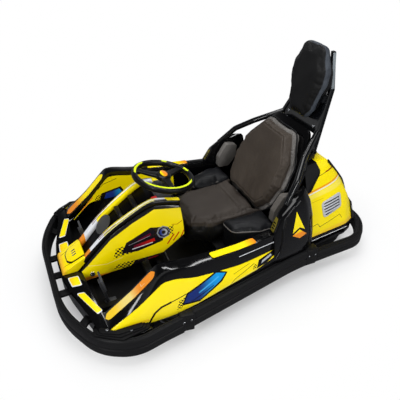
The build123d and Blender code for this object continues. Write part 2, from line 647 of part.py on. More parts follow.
def rim(width, bore, plane, disc_at):
    """Rim barrel with a dished disc and hub."""
    half = width / 2 - 5
    inner_r = RIM_R - 8
    points = ((bore, disc_at - 22), (26, disc_at - 22), (30, disc_at - 6), (inner_r, disc_at - 6),
              (inner_r, -half), (RIM_R, -half), (RIM_R, half), (inner_r, half),
              (inner_r, disc_at + 6), (26, disc_at + 6), (22, disc_at + 14), (bore, disc_at + 14))
    return turned(points, plane)


# Wheels: the rear rims carry their half shafts
wheels = {}
disc_at = 10.0
shaft_in = REAR_WHEEL_Y - 100.0
for side, tag in ((1, "left"), (-1, "right")):
    front_plane = side_plane(FRONT_AXLE_X, side * FRONT_WHEEL_Y, FRONT_TYRE_R, side)
    wheels[f"front_tyre_{tag}"] = tyre(FRONT_TYRE_R, FRONT_TYRE_WIDTH, front_plane)
    wheels[f"front_rim_{tag}"] = rim(FRONT_TYRE_WIDTH, SPINDLE_R + RUN_FIT, front_plane, disc_at)
    rear_plane = side_plane(REAR_AXLE_X, side * REAR_WHEEL_Y, REAR_TYRE_R, side)
    wheels[f"rear_tyre_{tag}"] = tyre(REAR_TYRE_R, REAR_TYRE_WIDTH, rear_plane)
    shaft = Pos(0, 0, -shaft_in) * Cylinder(SHAFT_R, shaft_in + 2 * disc_at, align=ON_BASE)
    wheels[f"rear_rim_{tag}"] = rim(REAR_TYRE_WIDTH, SHAFT_R - 1, rear_plane, disc_at) + rear_plane * shaft

# Drive unit between the rear rails, with its axle tubes and feet on the rails
drive_half = REAR_RAIL_Y - half_tube - 5.0
drive_unit = box(REAR_AXLE_X - 105, REAR_AXLE_X + 85, -drive_half, drive_half, FRAME_LOW, BATTERY_LOW - 14)
for side in (1, -1):
    y0, y1 = sorted((side * (drive_half - 10), side * (REAR_RAIL_Y + half_tube)))
    drive_unit += box(REAR_AXLE_X - 50, REAR_AXLE_X + 30, y0, y1, FRAME_TOP, FRAME_TOP + 8)
    tube_plane = side_plane(REAR_AXLE_X, side * (drive_half - 10), REAR_TYRE_R, side)
    drive_unit += tube_plane * Cylinder(SHAFT_R + 9, 65, align=ON_BASE)
drive_unit -= side_plane(REAR_AXLE_X, 0, REAR_TYRE_R, 1) * Cylinder(SHAFT_R + RUN_FIT, 4 * REAR_WHEEL_Y)

# Battery pack on its stands
battery_half = REAR_RAIL_Y + half_tube
battery_pack = box(REAR_AXLE_X - 82, REAR_AXLE_X + 152, -battery_half, battery_half, BATTERY_LOW, BATTERY_TOP)


def both_sides(half):
    """Closed outline from the right-hand corners of a shape that is the same on both sides."""
    return [(-a, b, r) for a, b, r in half] + list(half[::-1])


# Seat: shell with its back board, then the cushions
recline = math.radians(BACK_RECLINE)
back_normal = (math.cos(recline), 0, math.sin(recline))
back_plane = Plane(origin=BACK_FOOT, x_dir=(0, 1, 0), z_dir=back_normal)
board_plane = back_plane.offset(-BACK_THICK)
tray_top = SEAT_TRAY_LOW + SEAT_TRAY
tray_back = SEAT_X - 35
seat_shell = box(tray_back, TRAY_FRONT_X, -SEAT_TRAY_HALF, SEAT_TRAY_HALF, SEAT_TRAY_LOW, tray_top)
seat_shell += box(tray_back, SEAT_FRONT_X - 15, -TRAY_NOSE_HALF, TRAY_NOSE_HALF, SEAT_TRAY_LOW, tray_top)
back_vector = Vector(*back_normal)
seat_back = extrude(rounded_face(both_sides(BACK_OUTLINE), back_plane), amount=BACK_THICK, dir=-back_vector)
back_board = extrude(rounded_face(both_sides(BOARD_OUTLINE), board_plane), amount=10, dir=-back_vector)
seat_shell += back_board - box(-reach, reach, -reach, reach, -reach, SEAT_TRAY_LOW)
cushion_profile = rounded_face(
    ((SEAT_FRONT_X, tray_top, 10), (SEAT_FRONT_X, CUSHION_TOP - 6, 40),
     (SEAT_X - 45, CUSHION_TOP, 0), (SEAT_X - 30, tray_top, 0)), Plane.XZ)
seat_base = extrude(cushion_profile, amount=CUSHION_HALF, both=True)
cushion_plan = rounded_face(both_halves(
    ((SEAT_FRONT_X, CUSHION_NOSE_HALF, 40), (SEAT_X + 275, CUSHION_HALF, 60),
     (SEAT_X - 60, CUSHION_HALF, 0))))
seat_base &= Pos(0, 0, tray_top) * extrude(cushion_plan, amount=CUSHION_TOP, dir=UP)
seat_base -= seat_back
seat_base -= seat_shell
bolster_plan = rounded_face(
    ((SEAT_X + 210, CUSHION_HALF, 0), (SEAT_X + 200, CUSHION_HALF + 100, 40),
     (SEAT_X + 60, SEAT_TRAY_HALF, 40), (tray_back, SEAT_TRAY_HALF, 20), (tray_back, CUSHION_HALF, 0)))
seat_bolster_left = Pos(0, 0, tray_top) * extrude(bolster_plan, amount=CUSHION_TOP + 4 - tray_top, dir=UP)
seat_bolster_left -= seat_back
seat_bolster_left -= seat_shell


def leg_loft(room):
    """Left leg of the headrest frame, grown by some room on each side."""
    faces = []
    half_y = LEG_Y / 2 + room
    for z, x, y, depth in LEG_STATIONS:
        half_x = depth / 2 + room
        corners = [Vector(x + dx * half_x, y + dy * half_y, z) for dx, dy in CORNERS]
        faces.append(Face(Wire.make_polygon(corners, close=True)))
    return loft(faces, ruled=True)


def leg_point(z):
    """Middle of the left leg's long run at one height."""
    (z0, xa, ya, _), (z1, xb, yb, _) = LEG_STATIONS[1:3]
    share = (z - z0) / (z1 - z0)
    return xa + (xb - xa) * share, ya + (yb - ya) * share


# Headrest pad, then its frame of two legs, lamp plate, panel, pad bracket and side tubes
lean = math.radians(PAD_RECLINE)
pad_normal = Vector(math.cos(lean), 0, math.sin(lean))
pad_plane = Plane(origin=PAD_FACE, x_dir=(0, 1, 0), z_dir=pad_normal)
headrest_pad = extrude(rounded_face(both_sides(PAD_OUTLINE), pad_plane), amount=PAD_THICK, dir=-pad_normal)
leg = leg_loft(0)
roll_frame = leg + mirrored(leg)
lamp_x = LEG_STATIONS[-1][1] - LEG_STATIONS[-1][3] / 2 + 1
roll_frame += box(lamp_x, lamp_x + LAMP_PLATE_THICK, -LAMP_PLATE_HALF, LAMP_PLATE_HALF, *LAMP_PLATE_Z)
panel_faces = []
for z in PANEL_Z:
    x, y = leg_point(z)
    half_x = PANEL_THICK / 2
    corners = [Vector(x + dx * half_x, dy * y, z) for dx, dy in CORNERS]
    panel_faces.append(Face(Wire.make_polygon(corners, close=True)))
roll_frame += loft(panel_faces, ruled=True)
bracket_z = 912.0
bracket_x, bracket_y = leg_point(bracket_z)
bracket = box(bracket_x, bracket_x + 90, -bracket_y, bracket_y, bracket_z - 18, bracket_z + 18)
pad_back = pad_plane.offset(-PAD_THICK)
roll_frame += bracket - pad_back * Box(reach, reach, reach, align=ON_BASE)
belt_x, belt_y = leg_point(BELT_Z)
lamp_z = sum(LAMP_PLATE_Z) / 2
for side in (1, -1):
    belt_plane = Plane(origin=(belt_x, side * belt_y, BELT_Z), x_dir=(1, 0, 0), z_dir=(0, 1, 0))
    roll_frame += belt_plane * Cylinder(BELT_HOLE_R + 7.5, BELT_BOSS)
    roll_frame -= belt_plane * Cylinder(BELT_HOLE_R, 2 * BELT_BOSS)
    hole_plane = Plane(origin=(lamp_x, side * LAMP_HOLE_Y, lamp_z), x_dir=(0, 1, 0), z_dir=(1, 0, 0))
    roll_frame -= hole_plane * Cylinder(LAMP_HOLE_R, 3 * LAMP_PLATE_THICK)
side_tube = rod(SIDE_TUBE, 70, SIDE_TUBE_R)
roll_frame += side_tube
roll_frame += mirrored(side_tube)
leg_room = leg_loft(LEG_ROOM)
rear_cover_left -= leg_room
rear_cover_left -= side_tube
hip_guard_left -= leg_room
hip_guard_left -= side_tube

# Pedals on the floor pan
pedal_y = 225.0
pedal_x = NOSE_TUBE_X - 45.0
pedal_profile = rounded_face(
    ((pedal_x, FRAME_LOW, 0), (pedal_x - 60, FRAME_LOW, 0), (pedal_x - 60, FRAME_LOW + 8, 0),
     (pedal_x - 24, FRAME_LOW + 10, 10), (pedal_x, 240, 0), (pedal_x + 16, 240, 0),
     (pedal_x - 10, FRAME_LOW + 10, 6)), Plane.XZ)
plate_profile = rounded_face(
    ((pedal_x - 6, 190, 0), (pedal_x + 8, 265, 0), (pedal_x - 2, 268, 0), (pedal_x - 16, 192, 0)), Plane.XZ)
pedal = extrude(pedal_profile, amount=14, both=True) + extrude(plate_profile, amount=38, both=True)
brake_pedal = Pos(0, pedal_y, 0) * pedal

# Nodes: single pieces, sets of like pieces, then handed pairs given by their left-hand shape
singles = {
    "floor_pan": floor_pan, "front_bumper": front_bumper, "rear_bumper": rear_bumper,
    "front_fairing": front_fairing, "nose_block": nose_block, "cowl_deck": cowl_deck,
    "number_disc": number_disc, "front_axle": front_axle, "steering_column": steering_column,
    "steering_wheel": steering_wheel, "tie_rod_left": tie_rod_left, "tie_rod_right": tie_rod_right,
    "drive_unit": drive_unit, "battery_pack": battery_pack, "rear_tail": rear_tail,
    "rear_skirt": rear_skirt, "seat_shell": seat_shell, "seat_base": seat_base, "seat_back": seat_back,
    "roll_frame": roll_frame, "headrest_pad": headrest_pad, "brake_pedal": brake_pedal,
    "throttle_pedal": mirrored(brake_pedal),
}
sets = {
    "frame_rails": frame_rails, "cross_tubes": cross_tubes, "outriggers": outriggers,
    "seat_posts": seat_posts, "battery_stand": battery_stand, "column_supports": [column_support],
    "front_bars": front_bars,
}
pairs = {
    "side_bumper": side_bumper_left, "pod_rail": pod_rail_left, "pod_panel": pod_panel_left,
    "hip_guard": hip_guard_left, "rear_cover": rear_cover_left, "cowl_side": cowl_side_left,
    "cowl_rail": cowl_rail_left, "knuckle": knuckle_left, "seat_bolster": seat_bolster_left,
}
for name, shape in (singles | wheels).items():
    save(name, shape)
for name, shapes in sets.items():
    save(name, Compound(children=[solid for shape in shapes for solid in shape.solids()]))
for name, shape in pairs.items():
    save(f"{name}_left", shape)
    save(f"{name}_right", mirrored(shape))
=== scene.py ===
"""Looks of the drift kart: its pieces, finishes, light and camera."""

import logging
import math
from dataclasses import dataclass
from enum import Enum
from typing import Callable, Sequence

import bpy
from mathutils import Matrix, Vector


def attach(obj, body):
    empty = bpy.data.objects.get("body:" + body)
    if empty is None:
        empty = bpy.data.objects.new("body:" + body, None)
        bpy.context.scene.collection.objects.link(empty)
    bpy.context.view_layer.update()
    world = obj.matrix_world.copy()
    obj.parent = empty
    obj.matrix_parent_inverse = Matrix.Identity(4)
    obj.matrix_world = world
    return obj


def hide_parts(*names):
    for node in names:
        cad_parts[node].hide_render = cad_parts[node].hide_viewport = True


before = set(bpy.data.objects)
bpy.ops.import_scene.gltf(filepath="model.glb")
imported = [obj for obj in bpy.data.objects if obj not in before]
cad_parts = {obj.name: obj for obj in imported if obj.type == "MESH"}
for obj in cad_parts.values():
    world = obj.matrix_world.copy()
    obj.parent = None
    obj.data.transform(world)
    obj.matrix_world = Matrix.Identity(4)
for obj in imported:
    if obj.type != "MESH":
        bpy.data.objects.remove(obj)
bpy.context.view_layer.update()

LOG = logging.getLogger("drift_kart")
Point = Sequence[float]
Row = list[Point]
Colour = tuple[float, float, float, float]
Thing = bpy.types.Object
Material = bpy.types.Material

COAT_SHARE = 0.3
HEADREST_LEAN = math.radians(9.0)


def srgb(red: float, green: float, blue: float) -> Colour:
    """Turn a screen colour of 0 to 255 into a linear one.

    Args:
        red, green, blue: the screen values.

    Returns:
        The linear colour with full alpha.
    """
    parts = []
    for value in (red, green, blue):
        part = value / 255.0
        parts.append(part / 12.92 if part <= 0.04045 else ((part + 0.055) / 1.055) ** 2.4)
    return parts[0], parts[1], parts[2], 1.0


def spots(size: int, *values: float) -> tuple[Point, ...]:
    """Group millimetres into points of so many values each, in metres."""
    metres = [value / 1000 for value in values]
    return tuple(tuple(metres[i:i + size]) for i in range(0, len(metres), size))


def pairs(*values: float) -> tuple[Point, ...]:
    """Points of two values, given in millimetres."""
    return spots(2, *values)


def trios(*values: float) -> tuple[Point, ...]:
    """Points of three values, given in millimetres."""
    return spots(3, *values)


def between(a: float, b: float, t: float) -> float:
    """The value a fraction t of the way from a to b."""
    return a + (b - a) * t


def blend(p: Point, q: Point, t: float) -> tuple[float, ...]:
    """The point a fraction t of the way from p to q."""
    return tuple(between(a, b, t) for a, b in zip(p, q))


def station_at(stations: Sequence, x: float) -> Sequence[Point]:
    """Find a section between the stations along the kart.

    Args:
        stations: pairs of x and points (y, z), from the front to the back.
        x: the place along the kart.

    Returns:
        The section's points.
    """
    for (a, first), (b, second) in zip(stations, stations[1:]):
        if b <= x <= a:
            return [blend(p, q, (a - x) / (a - b)) for p, q in zip(first, second)]
    return stations[-1][1]


def whole(half: Sequence[Point]) -> tuple[Point, ...]:
    """An outline made whole from one half, mirrored in its first value."""
    return tuple(half) + tuple((-point[0], *point[1:]) for point in reversed(half))


def drawn_in(shape: Sequence[Point], middle: Point, shrink: float, radius: float) -> list[Point]:
    """Draw a shape's corners in towards its middle.

    Args:
        shape: the corners.
        middle: the place they move to.
        shrink: how far they move.
        radius: the round of each corner.

    Returns:
        Triples of two coordinates and the corner's radius.
    """
    corners = []
    for x, y in shape:
        reach = math.dist((x, y), middle)
        factor = max(reach - shrink, 0.004) / reach
        corners.append((middle[0] + (x - middle[0]) * factor, middle[1] + (y - middle[1]) * factor, radius))
    return corners


def flat_bar(half: float, low: float, high: float, taper: float = 1.0) -> list[Point]:
    """The section of a flat strip, its top narrower by a factor."""
    return [(-half, low), (half, low), (half * taper, high), (-half * taper, high)]


class Hue:
    """The colours that the kart's pieces share."""

    YELLOW = srgb(253, 229, 3)
    ORANGE = srgb(236, 140, 30)
    LIME = srgb(222, 240, 20)
    WHITE = srgb(226, 228, 232)
    BLACK = srgb(10, 10, 11)
    MAROON = srgb(96, 14, 38)
    RED = srgb(186, 26, 22)
    BLUE = srgb(24, 52, 140)
    CYAN = srgb(12, 150, 222)
    SILVER = srgb(176, 180, 186)
    SATIN = srgb(25, 25, 26)
    GREY = srgb(72, 73, 76)


class Sock:
    """A number inside a material, with Python arithmetic."""

    def __init__(self, shade: "Shade", socket: bpy.types.NodeSocket) -> None:
        """Hold one output socket."""
        self.shade = shade
        self.socket = socket

    def __add__(self, other: "Sock | float") -> "Sock":
        """Sum."""
        return self.shade.math("ADD", self, other)

    __radd__ = __add__

    def __sub__(self, other: "Sock | float") -> "Sock":
        """Difference."""
        return self.shade.math("SUBTRACT", self, other)

    def __rsub__(self, other: float) -> "Sock":
        """Difference from a number."""
        return self.shade.math("SUBTRACT", other, self)

    def __mul__(self, other: "Sock | float") -> "Sock":
        """Product."""
        return self.shade.math("MULTIPLY", self, other)

    __rmul__ = __mul__

    def __truediv__(self, other: "Sock | float") -> "Sock":
        """Quotient."""
        return self.shade.math("DIVIDE", self, other)

    def __abs__(self) -> "Sock":
        """Size without sign."""
        return self.shade.math("ABSOLUTE", self)

    def __pow__(self, other: float) -> "Sock":
        """Power."""
        return self.shade.math("POWER", self, other)

    def least(self, other: "Sock | float") -> "Sock":
        """The smaller of two values."""
        return self.shade.math("MINIMUM", self, other)

    def most(self, other: "Sock | float") -> "Sock":
        """The larger of two values."""
        return self.shade.math("MAXIMUM", self, other)

    def rise(self, low: float, high: float) -> "Sock":
        """Go smoothly from 0 at low to 1 at high."""
        made = self.shade.node("ShaderNodeMapRange", {"interpolation_type": "SMOOTHSTEP"}, {0: self, 1: low, 2: high})
        return Sock(self.shade, made.outputs[0])


class Plane(Enum):
    """The plane in which a piece's painted shapes are laid out."""

    SIDE = "side"
    TOP = "top"
    STRIP = "strip"


class Shade:
    """One material and the nodes that make it."""

    def __init__(self, name: str, owner: bpy.types.World | None = None) -> None:
        """Start a material, or clear the world that is given.

        Args:
            name: the new material's name.
            owner: a world to use in a material's place.
        """
        self.material = bpy.data.materials.new(name) if owner is None else owner
        self.material.use_nodes = True
        self.tree = self.material.node_tree
        self.tree.nodes.clear()
        self.coords = self.node("ShaderNodeTexCoord")

    def node(self, kind: str, settings: dict | None = None, inputs: dict | None = None) -> bpy.types.Node:
        """Add a node.

        Args:
            kind: the node's type.
            settings: properties, with a ramp's stops under "stops".
            inputs: values or links by socket name or number.

        Returns:
            The node.
        """
        made = self.tree.nodes.new(kind)
        for key, value in (settings or {}).items():
            setattr(made, key, value)
        for key, value in (inputs or {}).items():
            if isinstance(value, Sock):
                value = value.socket
            if isinstance(value, bpy.types.NodeSocket):
                self.tree.links.new(value, made.inputs[key])
            else:
                made.inputs[key].default_value = value
        return made

    def math(self, operation: str, *values: "Sock | float") -> Sock:
        """Add one Math node."""
        made = self.node("ShaderNodeMath", {"operation": operation}, dict(enumerate(values)))
        return Sock(self, made.outputs[0])

    def axes(self, plane: Plane) -> tuple[Sock, Sock]:
        """Give the two directions of a plane.

        Args:
            plane: the plane, or the piece's own strip.

        Returns:
            Two values, in metres or along the strip.
        """
        source = self.coords.outputs["UV" if plane is Plane.STRIP else "Object"]
        parts = self.node("ShaderNodeSeparateXYZ", None, {0: source})
        second = 2 if plane is Plane.SIDE else 1
        return Sock(self, parts.outputs[0]), Sock(self, parts.outputs[second])

    def noise(self, scale: float, detail: float = 2.0, stretch: Point = (1, 1, 1)) -> Sock:
        """Cloudy values around a half, fixed to the piece.

        Args:
            scale: clouds to the metre.
            detail: how fine they are.
            stretch: a factor in each direction.

        Returns:
            The value.
        """
        turned = self.node("ShaderNodeMapping", None, {0: self.coords.outputs["Object"], 3: stretch})
        made = self.node("ShaderNodeTexNoise", None, {"Vector": turned.outputs[0], "Scale": scale, "Detail": detail})
        return Sock(self, made.outputs[0])

    def cells(self, scale: float) -> Sock:
        """Distance to the nearest of many scattered points."""
        made = self.node("ShaderNodeTexVoronoi", None, {"Vector": self.coords.outputs["Object"], "Scale": scale})
        return Sock(self, made.outputs["Distance"])

    def mix(self, amount: "Sock | float", first: object, second: object) -> bpy.types.NodeSocket:
        """Blend two colours."""
        made = self.node("ShaderNodeMix", {"data_type": "RGBA"}, {0: amount, 6: first, 7: second})
        return made.outputs[2]

    def bump(self, height: Sock, strength: float, distance: float) -> bpy.types.NodeSocket:
        """Make a normal from a height."""
        made = self.node("ShaderNodeBump", None, {"Height": height, "Strength": strength, "Distance": distance})
        return made.outputs[0]

    def grained(
        self, colour: object, rough: Sock, grain: Sock, strength: float, depth: float, shine: float = 0.2
    ) -> Material:
        """Close a grained material.

        Args:
            colour, rough: its colour and roughness.
            grain: the height of its grain.
            strength, depth: how much of the grain shows, and its size.
            shine: how much it mirrors.

        Returns:
            The material.
        """
        normal = self.bump(grain, strength, depth)
        return self.surface({"Base Color": colour, "Roughness": rough, "Normal": normal, "Specular IOR Level": shine})

    def surface(self, inputs: dict) -> Material:
        """Close the material with one shader.

        Args:
            inputs: values or links of the shader's sockets.

        Returns:
            The material.
        """
        shader = self.node("ShaderNodeBsdfPrincipled", None, inputs)
        self.node("ShaderNodeOutputMaterial", None, {0: shader.outputs[0]})
        return self.material


@dataclass(frozen=True)
class Patch:
    """A straight-sided painted shape, its corners in order round it."""

    colour: Colour
    corners: tuple[Point, ...]
    fade: tuple[float, float, Colour] | None = None
    check: float = 0.0
    soft: float = 0.0007

    def cover(self, shade: Shade, u: Sock, v: Sock) -> Sock:
        """Give 1 inside the shape and 0 outside.

        Args:
            shade: the material.
            u, v: the directions of its plane.

        Returns:
            The value.
        """
        area = sum(a[0] * b[1] - b[0] * a[1] for a, b in zip(self.corners, self.corners[1:] + self.corners[:1]))
        turn = 1.0 if area > 0 else -1.0
        deep: Sock | None = None
        for a, b in zip(self.corners, self.corners[1:] + self.corners[:1]):
            length = math.hypot(b[0] - a[0], b[1] - a[1])
            nu, nv = -turn * (b[1] - a[1]) / length, turn * (b[0] - a[0]) / length
            side = u * nu + v * nv - (a[0] * nu + a[1] * nv)
            deep = side if deep is None else deep.least(side)
        mask = deep.rise(-self.soft, self.soft)
        if self.check:
            squares = shade.math("FLOOR", u / self.check) + shade.math("FLOOR", v / self.check)
            mask = mask * shade.math("PINGPONG", squares, 1.0)
        return mask

    def tint(self, shade: Shade, u: Sock) -> object:
        """Give the colour, or a fade along the first direction.

        Args:
            shade: the material.
            u: the first direction.

        Returns:
            The colour or its link.
        """
        if self.fade is None:
            return self.colour
        return shade.mix(u.rise(self.fade[0], self.fade[1]), self.colour, self.fade[2])


@dataclass(frozen=True)
class Stroke:
    """A painted line through a run of points."""

    colour: Colour
    points: tuple[Point, ...]
    width: float = 0.004
    soft: float = 0.0006

    def cover(self, shade: Shade, u: Sock, v: Sock) -> Sock:
        """Give 1 on the line and 0 off it.

        Args:
            shade: the material.
            u, v: the directions of its plane.

        Returns:
            The value.
        """
        near: Sock | None = None
        for a, b in zip(self.points, self.points[1:]):
            du, dv = b[0] - a[0], b[1] - a[1]
            along = ((u - a[0]) * du + (v - a[1]) * dv) / (du * du + dv * dv)
            along = along.most(0.0).least(1.0)
            gap = ((u - a[0] - along * du) ** 2.0 + (v - a[1] - along * dv) ** 2.0) ** 0.5
            near = gap if near is None else near.least(gap)
        half = self.width / 2
        return 1 - near.rise(half - self.soft, half + self.soft)

    def tint(self, shade: Shade, u: Sock) -> object:
        """Give the colour."""
        return self.colour


@dataclass(frozen=True)
class Plastic:
    """Moulded plastic or paint, with faint flow marks, grain and painted shapes."""

    name: str
    colour: Colour
    rough: float = 0.25
    coat: float = 0.0
    grain: float = 0.0
    grain_scale: float = 900.0
    shine: float = 0.22
    plane: Plane = Plane.SIDE
    layers: tuple = ()

    def make(self) -> Material:
        """Build the material.

        Returns:
            The material.
        """
        shade = Shade(self.name)
        cloud = shade.noise(9.0, 3.0)
        dark = tuple(part * 0.95 for part in self.colour[:3]) + (1.0,)
        colour: object = shade.mix(cloud.rise(0.3, 0.7), dark, self.colour)
        if self.layers:
            u, v = shade.axes(self.plane)
            for layer in self.layers:
                colour = shade.mix(layer.cover(shade, u, v), colour, layer.tint(shade, u))
        rough = shade.noise(60.0, 4.0).rise(0.2, 0.8) * 0.08 + (self.rough - 0.03)
        inputs = {"Base Color": colour, "Roughness": rough, "Specular IOR Level": self.shine}
        inputs |= {"Coat Weight": self.coat * COAT_SHARE, "Coat Roughness": 0.04}
        if self.grain:
            inputs["Normal"] = shade.bump(shade.cells(self.grain_scale), self.grain, 0.0004)
        return shade.surface(inputs)


@dataclass(frozen=True)
class Leather:
    """Leather cloth with a fine grain, soft creases and scuffed high spots."""

    name: str
    colour: Colour
    worn: Colour
    rough: float = 0.55

    def make(self) -> Material:
        """Build the material.

        Returns:
            The material.
        """
        shade = Shade(self.name)
        cloud = shade.noise(7.0, 4.0).rise(0.35, 0.7)
        crease = shade.noise(26.0, 5.0, (1, 1, 2.2))
        colour = shade.mix(cloud * 0.6, self.colour, self.worn)
        grain = shade.cells(420.0) * 0.6 + crease * 0.9
        return shade.grained(colour, cloud * 0.12 + (self.rough - 0.06), grain, 0.35, 0.0016)


@dataclass(frozen=True)
class Metal:
    """Bare, cast or plated metal with brushed roughness."""

    name: str
    colour: Colour
    rough: float = 0.3
    metallic: float = 1.0
    brush: Point = (1, 1, 1)

    def make(self) -> Material:
        """Build the material.

        Returns:
            The material.
        """
        shade = Shade(self.name)
        cloud = shade.noise(30.0, 4.0, self.brush)
        dark = tuple(part * 0.7 for part in self.colour[:3]) + (1.0,)
        colour = shade.mix(cloud.rise(0.25, 0.6), dark, self.colour)
        rough = cloud * 0.18 + (self.rough - 0.09)
        return shade.surface({"Base Color": colour, "Roughness": rough, "Metallic": self.metallic})


@dataclass(frozen=True)
class Rubber:
    """Dull tyre rubber with dust in the low places."""

    name: str
    colour: Colour = srgb(26, 26, 27)

    def make(self) -> Material:
        """Build the material.

        Returns:
            The material.
        """
        shade = Shade(self.name)
        dust = shade.noise(14.0, 5.0).rise(0.5, 0.8)
        colour = shade.mix(dust * 0.5, self.colour, srgb(58, 56, 53))
        grain = shade.noise(380.0, 3.0)
        return shade.grained(colour, dust * 0.15 + 0.68, grain, 0.4, 0.0006)


class Bench:
    """The workbench: shapes meshes with Blender's operators."""

    @staticmethod
    def clear() -> None:
        """Deselect everything."""
        bpy.ops.object.select_all(action="DESELECT")

    @staticmethod
    def hold(obj: Thing) -> None:
        """Select one object alone and make it active.

        Args:
            obj: the object.
        """
        Bench.clear()
        obj.select_set(True)
        bpy.context.view_layer.objects.active = obj

    @staticmethod
    def named(name: str) -> Thing:
        """Name the active object and its mesh, with its place put into the mesh.

        Args:
            name: the name.

        Returns:
            The object.
        """
        obj = bpy.context.object
        bpy.ops.object.transform_apply(location=True, rotation=True, scale=True)
        obj.name = name
        obj.data.name = name
        return obj

    @staticmethod
    def apply(obj: Thing, kind: str, settings: dict) -> Thing:
        """Add a modifier with its settings and apply it.

        Args:
            obj: the piece.
            kind: the modifier's type.
            settings: its values.

        Returns:
            The piece.
        """
        Bench.hold(obj)
        made = obj.modifiers.new("shape", kind)
        for key, value in settings.items():
            setattr(made, key, value)
        bpy.ops.object.modifier_apply(modifier=made.name)
        return obj

    @staticmethod
    def smooth(obj: Thing, angle: float = 35.0) -> Thing:
        """Shade smooth, with edges sharper than the angle kept.

        Args:
            obj: the piece.
            angle: the angle in degrees.

        Returns:
            The piece.
        """
        Bench.hold(obj)
        bpy.ops.object.shade_smooth_by_angle(angle=math.radians(angle))
        return obj

    @staticmethod
    def bevel(obj: Thing, width: float, segments: int = 3, angle: float = 30.0) -> Thing:
        """Round the edges sharper than the angle and shade the piece smooth.

        Args:
            obj: the piece.
            width, segments: the round's size and steps.
            angle: the angle in degrees.

        Returns:
            The piece.
        """
        limit = {"limit_method": "ANGLE", "angle_limit": math.radians(angle)}
        Bench.apply(obj, "BEVEL", {"width": width, "segments": segments} | limit)
        return Bench.smooth(obj)

    @staticmethod
    def wall(obj: Thing, thickness: float, offset: float = -1.0) -> Thing:
        """Give a sheet its thickness, inwards by default."""
        return Bench.apply(obj, "SOLIDIFY", {"thickness": thickness, "offset": offset, "use_even_offset": True})

    @staticmethod
    def cad_copy(node: str, name: str) -> Thing:
        """Copy a node's mesh, merged and with its flat faces joined.

        Args:
            node: the node.
            name: the copy's name.

        Returns:
            The copy.
        """
        obj = bpy.data.objects.new(name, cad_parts[node].data.copy())
        obj.data.name = name
        obj.data.materials.clear()
        bpy.context.scene.collection.objects.link(obj)
        Bench.hold(obj)
        bpy.ops.object.mode_set(mode="EDIT")
        bpy.ops.mesh.select_all(action="SELECT")
        bpy.ops.mesh.remove_doubles(threshold=0.00005)
        bpy.ops.mesh.dissolve_limited(angle_limit=math.radians(0.5))
        bpy.ops.object.mode_set(mode="OBJECT")
        return obj

    @staticmethod
    def skin(
        name: str, rows: Sequence[Row], ring: bool = False, loop: bool = False, caps: bool = False,
        out: Point | None = None,
    ) -> Thing:
        """Lay a grid through rows of points.

        Args:
            name: the piece's name.
            rows: the points, row by row.
            ring: close each row on itself.
            loop: join the last row to the first.
            caps: fill the open ends.
            out: for an open sheet, the way its faces look.

        Returns:
            The object.
        """
        lines = [list(row) + ([row[0]] if ring else []) for row in rows]
        if loop:
            lines.append(lines[0])
        Bench.clear()
        bpy.ops.mesh.primitive_grid_add(x_subdivisions=len(lines[0]) - 1, y_subdivisions=len(lines) - 1)
        obj = Bench.named(name)
        obj.data.vertices.foreach_set("co", [value for line in lines for point in line for value in point])
        obj.data.update()
        bpy.ops.object.mode_set(mode="EDIT")
        bpy.ops.mesh.select_all(action="SELECT")
        bpy.ops.mesh.remove_doubles(threshold=0.00002)
        if caps:
            bpy.ops.mesh.fill_holes(sides=0)
            bpy.ops.mesh.select_all(action="SELECT")
        if out is None:
            bpy.ops.mesh.normals_make_consistent(inside=False)
        bpy.ops.object.mode_set(mode="OBJECT")
        if out is not None:
            lean = sum(face.normal.dot(Vector(out)) * face.area for face in obj.data.polygons)
            if lean < 0:
                obj.data.flip_normals()
        return obj

    @staticmethod
    def sweep(
        name: str, path: Sequence[Point], outline: Sequence[Point], up: Point = (0, 0, 1), loop: bool = False,
        widths: Sequence[float] | None = None,
    ) -> Thing:
        """Carry an outline along a path.

        Args:
            name: the piece's name.
            path: the points passed through.
            outline: points (sideways, upwards) of the section.
            up: which way the section's second direction points.
            loop: join the end to the start.
            widths: a factor on the sideways size at each point.

        Returns:
            The object.
        """
        spots = [Vector(point) for point in path]
        count = len(spots)
        rows = []
        for index, spot in enumerate(spots):
            after = spots[(index + 1) % count] if loop else spots[min(index + 1, count - 1)]
            before = spots[index - 1] if loop or index else spots[0]
            ahead = (after - before).normalized()
            side = ahead.cross(Vector(up)).normalized()
            top = side.cross(ahead)
            factor = widths[index] if widths else 1.0
            rows.append([tuple(spot + side * a * factor + top * b) for a, b in outline])
        return Bench.skin(name, rows, ring=True, loop=loop, caps=not loop)

    @staticmethod
    def plate(name: str, corners: Sequence[Point], thickness: Point, edge: float = 0.001) -> Thing:
        """Fill an outline, extrude it and round its edges.

        Args:
            name: the plate's name.
            corners: points in space.
            thickness: the extrusion.
            edge: the round.

        Returns:
            The plate.
        """
        Bench.clear()
        bpy.ops.mesh.primitive_circle_add(vertices=len(corners), fill_type="NGON")
        obj = Bench.named(name)
        obj.data.vertices.foreach_set("co", [value for point in corners for value in point])
        obj.data.update()
        bpy.ops.object.mode_set(mode="EDIT")
        bpy.ops.mesh.select_all(action="SELECT")
        bpy.ops.mesh.extrude_region_move(TRANSFORM_OT_translate={"value": tuple(thickness)})
        bpy.ops.mesh.select_all(action="SELECT")
        bpy.ops.mesh.normals_make_consistent(inside=False)
        bpy.ops.object.mode_set(mode="OBJECT")
        return Bench.bevel(obj, edge, 2) if edge else obj

